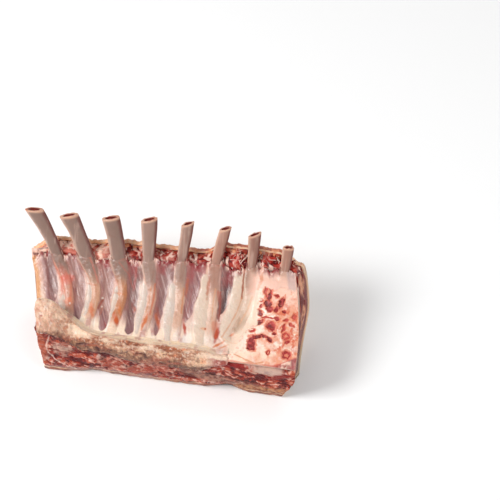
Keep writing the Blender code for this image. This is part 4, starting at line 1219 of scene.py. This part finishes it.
def make_lean():
    """Rings of the section from end to end, closed over both ends by rings that shrink to a point."""
    n = 340
    u = np.linspace(0.0, 1.0, n)[:, None]
    y, z, mark = meat_outline(u)
    centre = np.array(section(22.0, 20.0))
    shrink = np.linspace(1.0, 0.04, 30)[1:, None]
    first_y = centre[0] + (y[:1] - centre[0]) * shrink
    first_z = centre[1] + (z[:1] - centre[1]) * shrink
    last_y = centre[0] + (y[-1:] - centre[0]) * shrink
    last_z = centre[1] + (z[-1:] - centre[1]) * shrink
    y = np.concatenate([first_y[::-1], y, last_y])
    z = np.concatenate([first_z[::-1], z, last_z])
    u = np.concatenate([np.zeros((29, 1)), u, np.ones((29, 1))])
    end = np.concatenate([1.0 - shrink[::-1, 0], np.zeros(n), 1.0 - shrink[:, 0]])[:, None]
    x = along(u, y, z)
    s, d = arc_of(y, z)
    at = np.stack([x, y, z], -1)
    is_face = ((mark == 1)[None] | ((mark == 0)[None] & (s > french_line(u) - 9.0))) & (end == 0)
    is_front = (mark == 3)[None] & (end == 0)
    is_end = end > 0

    # ragged face between the bones
    face_tint, crag = raw_meat(at, 401, (1.0, 1.0, 1.0), 5.0)
    tear = 2.0 * cloud(warped(at, 6.0, 2.6, 403) * np.array([1.2, 0.55, 0.55]), 2.8, 2, 402, 0.5)
    face_t = np.clip((s - french_line(u)) / np.maximum(rim_line(u) - french_line(u), 2.0), 0, 1)
    dig = is_face * np.sin(np.pi * np.clip(face_t, 0.02, 0.98)) ** 0.7
    push = dig * (2.0 * crag + 1.2 * tear - 1.1)
    th = s / ARC_R
    y = y - push * np.sin(th)
    z = z + push * np.cos(th)
    # front: torn lumps and dents
    front_tint, lift = raw_meat(at, 411, (0.95, 1.0, 1.1))
    calm = 1.0 - 0.6 * patch(x, z, (73.0, 33.0), (12.0, 5.0), -4, 0.3, 0.2, 474)
    bulge = 1.2 * ease(46.0, 60.0, x) * (1.0 - ease(9.0, 14.0, z)) * cloud(at, 5.0, 3, 414)
    fade = np.clip((z - 5.0) / 3.0, 0, 1)
    lobe = lobes(x, z)
    y = y - is_front * (0.4 + 0.6 * fade) * (1.1 * lift * calm * (1.0 - 0.7 * lobe) + bulge + 0.7 * lobe)
    # ends
    end_at = at[..., [1, 2, 0]]
    end_tint, end_lift = raw_meat(end_at, 421, (1.0, 1.0, 0.4), 8.0)
    side = np.where(u > 0.5, 1.0, -1.0)
    dome = np.sin(np.pi * np.clip(end, 0, 1) * 0.5)
    x = x + is_end * side * (0.45 * end_lift - 0.4 * dome)

    # the torn face: pale shreds and red at the left, dark red at the right
    at_left = 1.0 - ease(-58.0, -46.0, x)
    pale = (0.95 - 0.4 * bump(x, -31.0, 9.0)) * (0.45 + 0.55 * (1.0 - ease(0.4, 0.9, face_t)))
    face = blend(
        face_tint,
        blend((150, 34, 36), (178, 44, 40), ease(10.0, 40.0, x)), 0.55,
        # near-black where the pits sink: dark meat deepened as painted shade
        (82, 8, 14), 0.9 * ease(0.0, 0.35, -crag),
        (248, 216, 202), pale * ease(0.25, 0.6, tear),
        (232, 156, 118), 0.85 * ease(0.55, 0.9, face_t + 0.2 * tear),
        (255, 216, 198), 0.9 * at_left * ease(-0.5, 0.05, crag),
        (196, 76, 62), 0.7 * at_left * ease(0.1, 0.4, -tear),
    )
    # the ends: the eye of the meat in a ring of fat, and at the right the tail and, below it, a
    # grey-brown membrane darkened as painted shade
    eye = patch(y, z, (21.0, 22.0), (16.0, 12.0), 15, 0.06, 0.1, 430)
    ring = np.hypot((y - 21.0) / 17.5, (z - 22.0) / 13.5) + 0.2 * cloud(at, 9.0, 3, 431)
    tail = ease(22.0, 30.0, s)
    pocket = patch(s, d, (46.0, 6.3), (5.0, 2.6), 0, 0.3, 0.4, 444)
    cream = 0.3 * spots(0.35, 0.6, at, 5.0, 4, 441)
    cream = cream + patch(s, d, (56.5, 9.0), (5.5, 4.5), 0, 0.3, 0.5, 445)
    granular = patch(s, d, (36.0, 12.5), (7.5, 6.0), 0, 0.3, 0.5, 446) * spots(-0.3, 0.1, at, 1.8, 3, 447)
    folds = 1.6 * cloud(warped(at, 5.0, 1.6, 443) * np.array([1.0, 0.5, 1.2]), 3.4, 4, 442)
    tail_tint = blend(
        (114, 14, 14),
        (224, 164, 134), cream + granular - pocket,
        (84, 12, 16), 0.6 * np.maximum(ease(0.0, 0.5, folds), pocket),
    )
    end_tint = blend(
        end_tint,
        (150, 62, 56), 0.5,
        (158, 66, 60), 0.55 * eye,
        (230, 192, 172), 0.75 * bump(ring, 1.0, 0.06) * spots(-0.35, 0.15, at, 7.0, 3, 432),
        tail_tint, 0.92 * tail * (u > 0.5),
        # grey-brown membrane low on the right end, darkened as painted shade
        blend((126, 90, 82), (76, 44, 40), ease(-0.5, 0.6, folds)), 0.85 * (1.0 - tail) * (u > 0.5),
    )
    tint = np.where(is_face[..., None], face, front_paint(at, front_tint))
    tint = np.where(is_end[..., None], end_tint, tint)
    ob = closed_skin("rack_meat", to_frame(x, y, z), tint)
    return finish_piece(ob, meat, "lean", "lean_meat")


# outer fat: numbers of the parts of its outline that follow the outer side, which is 0
OVER_RIM, INNER_SIDE, FRONT_EDGE = 1, 2, 3


def make_cap():
    """Sheet of fat under and behind the meat: outer side from the front edge to the rim, over the
    rim, back along the inner side and down the front edge."""
    n = 300
    u = np.linspace(0.0, 1.0, n)[:, None]
    v = 0.5 + (u - 0.5) * 1.012
    rim = rim_line(u)
    thick = cap_thickness(rim)

    def inside(s):
        return back_depth(s) - cap_thickness(s)

    def sheet_side(first_s, depth, t, front_z):
        s = mix(first_s, rim, t)
        y, z = section(s, depth(s))
        return mix(front_y(u, front_z + 0 * u), y, ease(0.0, 0.06, t)), z

    outer = sheet_side(FRONT_S, back_depth, np.linspace(0.0, 1.0, 170)[None], 0.0)
    over = np.linspace(0.0, 1.0, 14)[None, 1:-1]
    rim_round = section(rim + 1.3 * np.sin(np.pi * over), back_depth(rim) - thick * over)
    inner = sheet_side(FRONT_S + 0.5, inside, np.linspace(1.0, 0.0, 40)[None], CAP_THICK)
    down = np.linspace(0.0, 1.0, 12)[None, 1:-1]
    front_z = CAP_THICK * (1.0 - down) + 0 * u
    front = front_y(u, front_z) - 0.5 * np.sin(np.pi * down), front_z
    parts = [outer, rim_round, inner, front]
    y, z = (np.concatenate([p[i] for p in parts], 1) for i in (0, 1))
    part = np.concatenate([np.full(p[0].shape[1], i) for i, p in enumerate(parts)])[None]
    x = along(v, y, z)
    s, d = arc_of(y, z)
    at = np.stack([x, y, z], -1)
    small = cloud(at, 2.6, 3, 502)
    free = ease(0.3, 3.0, z) * (part != INNER_SIDE)
    push = free * (0.9 * cloud(at, 12.0, 5, 501) + 0.25 * small)
    rough_rim = (part == OVER_RIM) * 1.1 * cloud(at, 2.4, 3, 503)
    th = s / ARC_R
    y = y + push * np.sin(th) + rough_rim * np.cos(th)
    z = np.maximum(z - push * np.cos(th) + rough_rim * np.sin(th), 0.0)

    thin = spots(0.25, 0.55, at * np.array([0.5, 1, 1]), 16.0, 4, 513)
    near_rim = ease(-6.0, -1.0, s - rim)
    left_rim = 1.0 - ease(-10.0, 15.0, x + 6.0 * noise(at, 9.0, 516))
    at_end = ease(86.0, 90.0, x + 0.15 * s)
    inward = ease(0.25, 0.6, (back_depth(rim) - d) / thick + 0.5 * small) * (1.0 - at_end)
    torn_edge = blend((156, 58, 50), (224, 148, 116), ease(-0.1, 0.5, small))
    streaks = at * np.array([0.4, 1, 1])
    grey = blend((164, 122, 116), (112, 66, 64), spots(-0.2, 0.3, streaks, 3.0, 3, 515))
    corner_red = blend((156, 84, 66), (104, 44, 38), ease(-0.2, 0.3, small))
    low_red = blend((158, 94, 74), (110, 52, 42), ease(-0.2, 0.3, small))
    to_right = ease(-20.0, 10.0, x)
    tint = blend(
        (236, 204, 176),
        (230, 176, 146), 0.7 * spots(0.0, 0.5, at * np.array([0.6, 1, 1]), 14.0, 4, 511),
        (246, 226, 206), 0.7 * spots(0.05, 0.5, at, 6.0, 4, 512),
        (196, 120, 104), 0.6 * thin,
        (206, 140, 112), 0.35 * ease(0.65, 0.95, veins(at, 11.0, 3, 514))
            * spots(-0.1, 0.3, at, 18.0, 2, 517),
        (255, 206, 168), 0.9 * left_rim * near_rim,
        (255, 206, 172), 0.5 * (1.0 - left_rim) * near_rim,
        (190, 96, 74), 0.4 * left_rim * near_rim * ease(0.1, 0.45, small),
        # painted light: the fat at the right end is lightened past the rest of the fat, where it faces
        # away from the key light
        (252, 210, 178), 0.9 * at_end * ease(30.0, 40.0, s),
        (255, 222, 196), 0.85 * ease(0.985, 0.995, u) * ease(26.0, 34.0, s),
        (250, 216, 190), 0.6 * near_rim * ease(0.0, 0.4, -small),
        (196, 110, 82), 0.6 * (1.0 - left_rim) * near_rim * ease(0.2, 0.5, small),
        torn_edge, (0.8 - 0.55 * left_rim) * inward * (part == OVER_RIM),
        blend(corner_red, grey, ease(-80.0, -66.0, x)), 0.9 * (part == FRONT_EDGE) * (1.0 - to_right),
        low_red, 0.9 * (part == FRONT_EDGE) * to_right,
    )
    ob = closed_skin("outer_fat", to_frame(x, y, z), tint)
    return finish_piece(ob, fat, "fat", "fat_cap")


# shreds where the bones come bare
def make_shreds(count=420):
    """Small tapering strips: a four-sided section carried along a curl that leaves the torn face."""
    pick = np.arange(count)

    def chance(seed):
        return lattice(pick, pick * 0, pick * 0, seed)
    u = chance(1)
    beside = chance(2) < 0.55
    k = 1 + (chance(3) * 8).astype(int)
    x = mix(LEFT_X - 8.0, RIGHT_X - 6.0, u)
    side = np.where(chance(4) > 0.45, 1.0, -1.0)
    for number in RIBS:
        near = rib_x(number, NECK_S) + side * (RIBS[number][7] * 0.5 + 0.6 + 2.2 * chance(5))
        x = np.where(beside & (k == number), near, x)
    for number in RIBS:
        off = x - rib_x(number, NECK_S + 2.0)
        half = RIBS[number][7] * 0.5 + 0.5
        side = np.where(np.abs(off) < half + 0.6, np.where(off < 0, -1.0, 1.0), side)
        x = np.where(np.abs(off) < half, rib_x(number, NECK_S + 2.0) + np.where(off < 0, -half, half), x)
    u = np.clip((x - LEFT_X) / (RIGHT_X - LEFT_X), 0.0, 1.0)
    line, rim = french_line(u), rim_line(u)
    share = np.clip(chance(6) ** 1.6, 0.0, 0.8)
    s = mix(np.minimum(line, rim) - 3.4, rim - 1.5, share)
    d = mix(2.6, back_depth(rim) - 5.0, share)
    long = mix(2.2, 5.6, chance(7))
    wide = mix(0.3, 0.8, chance(8))
    # way it points: across, along the arc, and up from it
    way = np.stack([side * mix(-0.3, 1.0, chance(9)), mix(-0.9, 0.7, chance(10)),
        mix(0.35, 1.0, chance(11))], -1)
    bend = np.stack([mix(-1.0, 1.0, chance(12)), mix(-1.0, 0.2, chance(13)),
        mix(-1.0, -0.2, chance(14))], -1)
    t = np.linspace(0.0, 1.0, 7)
    path = way[:, None] * t[None, :, None] + 0.7 * bend[:, None] * (t ** 2)[None, :, None]
    shaken = 0.25 * noise(path * 2.0 + pick[:, None, None] * 3.7, 0.8, 15)[..., None]
    path = path * long[:, None, None] + shaken
    a = np.linspace(0.0, 2.0 * np.pi, 4, endpoint=False)
    thick = wide[:, None] * (1.0 - 0.85 * t[None] ** 1.5)
    ring_x = thick[..., None] * np.cos(a)
    ring_s = thick[..., None] * 0.45 * np.sin(a)
    px = x[:, None, None] + path[..., 0:1] + ring_x
    ps = s[:, None, None] + path[..., 1:2] + ring_s
    pd = d[:, None, None] - path[..., 2:3] + 1.0 + 0.3 * ring_s
    y, z = section(ps, pd)
    points = to_frame(px, y, z)
    tone = chance(16)[:, None]
    tint = np.where(tone < 0.55, seen(250, 218, 204),
        np.where(tone < 0.75, seen(226, 158, 136), seen(160, 52, 46)))
    tint = np.repeat(tint, 28, 0) * mix(0.75, 1.1, np.tile(np.repeat(t, 4), count))[:, None]
    base = np.arange(count)[:, None] * 28
    i, j = np.meshgrid(np.arange(6), np.arange(4), indexing="ij")
    quad = np.stack([i * 4 + j, i * 4 + (j + 1) % 4, (i + 1) * 4 + (j + 1) % 4, (i + 1) * 4 + j],
        -1).reshape(-1, 4)
    caps = np.array([[3, 2, 1, 0], [24, 25, 26, 27]])
    faces = (base[:, :, None] + np.concatenate([quad, caps])[None]).reshape(-1, 4)
    mesh = bpy.data.meshes.new("torn_shreds")
    mesh.from_pydata(points.reshape(-1, 3).tolist(), [], faces.tolist())
    mesh.shade_smooth()
    return finish_piece(painted("torn_shreds", mesh, tint), meat, "lean")


for number in RIBS:
    make_rib(number)
    make_marrow(number)
make_hollow_side()
make_sawn_bone()
make_ridge()
make_lean()
make_cap()
make_shreds()


# floor, light and camera
def make_floor():
    bpy.ops.mesh.primitive_plane_add(size=6.0, location=(0.0, 0.0, -0.0004))
    floor = bpy.context.object
    floor.name = "floor"
    mat = bpy.data.materials.new("pale_floor")
    mat.use_nodes = True
    mat.node_tree.nodes["Principled BSDF"].inputs["Base Color"].default_value = (0.9, 0.9, 0.9, 1.0)
    mat.node_tree.nodes["Principled BSDF"].inputs["Roughness"].default_value = 0.9
    floor.data.materials.append(mat)


def add_light(name, place, size, power):
    """Square soft light of the given size, turned towards the middle of the rack."""
    data = bpy.data.lights.new(name, "AREA")
    data.size = size
    data.energy = power
    ob = bpy.data.objects.new(name, data)
    bpy.context.scene.collection.objects.link(ob)
    ob.location = place
    away = np.array(place) - np.array(LIT_POINT)
    flat = math.hypot(away[0], away[1])
    ob.rotation_euler = (math.atan2(flat, away[2]), 0.0, math.atan2(away[0], -away[1]))


def add_camera():
    """Camera at the angle and the distance from which the rack is seen."""
    data = bpy.data.cameras.new("camera")
    data.sensor_width = SENSOR_MM
    data.lens = FOCAL_PX / IMAGE_PX * SENSOR_MM
    data.clip_start = 0.05
    camera = bpy.data.objects.new("camera", data)
    bpy.context.scene.collection.objects.link(camera)
    camera.location = CAMERA_PLACE
    camera.rotation_euler = (math.radians(90.0 - CAMERA_DOWN), 0.0, math.radians(CAMERA_ROUND))
    bpy.context.scene.camera = camera


LIT_POINT = (0.0, 0.0, 0.03)
# name, place in metres, size in metres, power in watts
LIGHTS = [
    ("key_light", (-0.95, -0.5, 1.05), 0.6, 20.0),
    ("fill_light", (0.8, -0.9, 0.9), 1.2, 2.5),
    ("side_light", (1.1, -0.3, 0.5), 0.9, 4.0),
    ("back_light", (0.2, 1.0, 1.1), 1.2, 3.5),
]
ROOM_LIGHT = 0.42
SENSOR_MM, FOCAL_PX, IMAGE_PX = 36.0, 1266.0, 500.0
CAMERA_PLACE = (0.13433446 + 0.0087, -0.46298548 - 0.0392, 0.76842755)
CAMERA_DOWN, CAMERA_ROUND = 52.0, 9.0

make_floor()
for light in LIGHTS:
    add_light(*light)
world = bpy.context.scene.world or bpy.data.worlds.new("studio")
bpy.context.scene.world = world
world.use_nodes = True
world.node_tree.nodes["Background"].inputs["Color"].default_value = (1.0, 1.0, 1.0, 1.0)
world.node_tree.nodes["Background"].inputs["Strength"].default_value = ROOM_LIGHT
bpy.context.scene.view_settings.view_transform = "Standard"
add_camera()
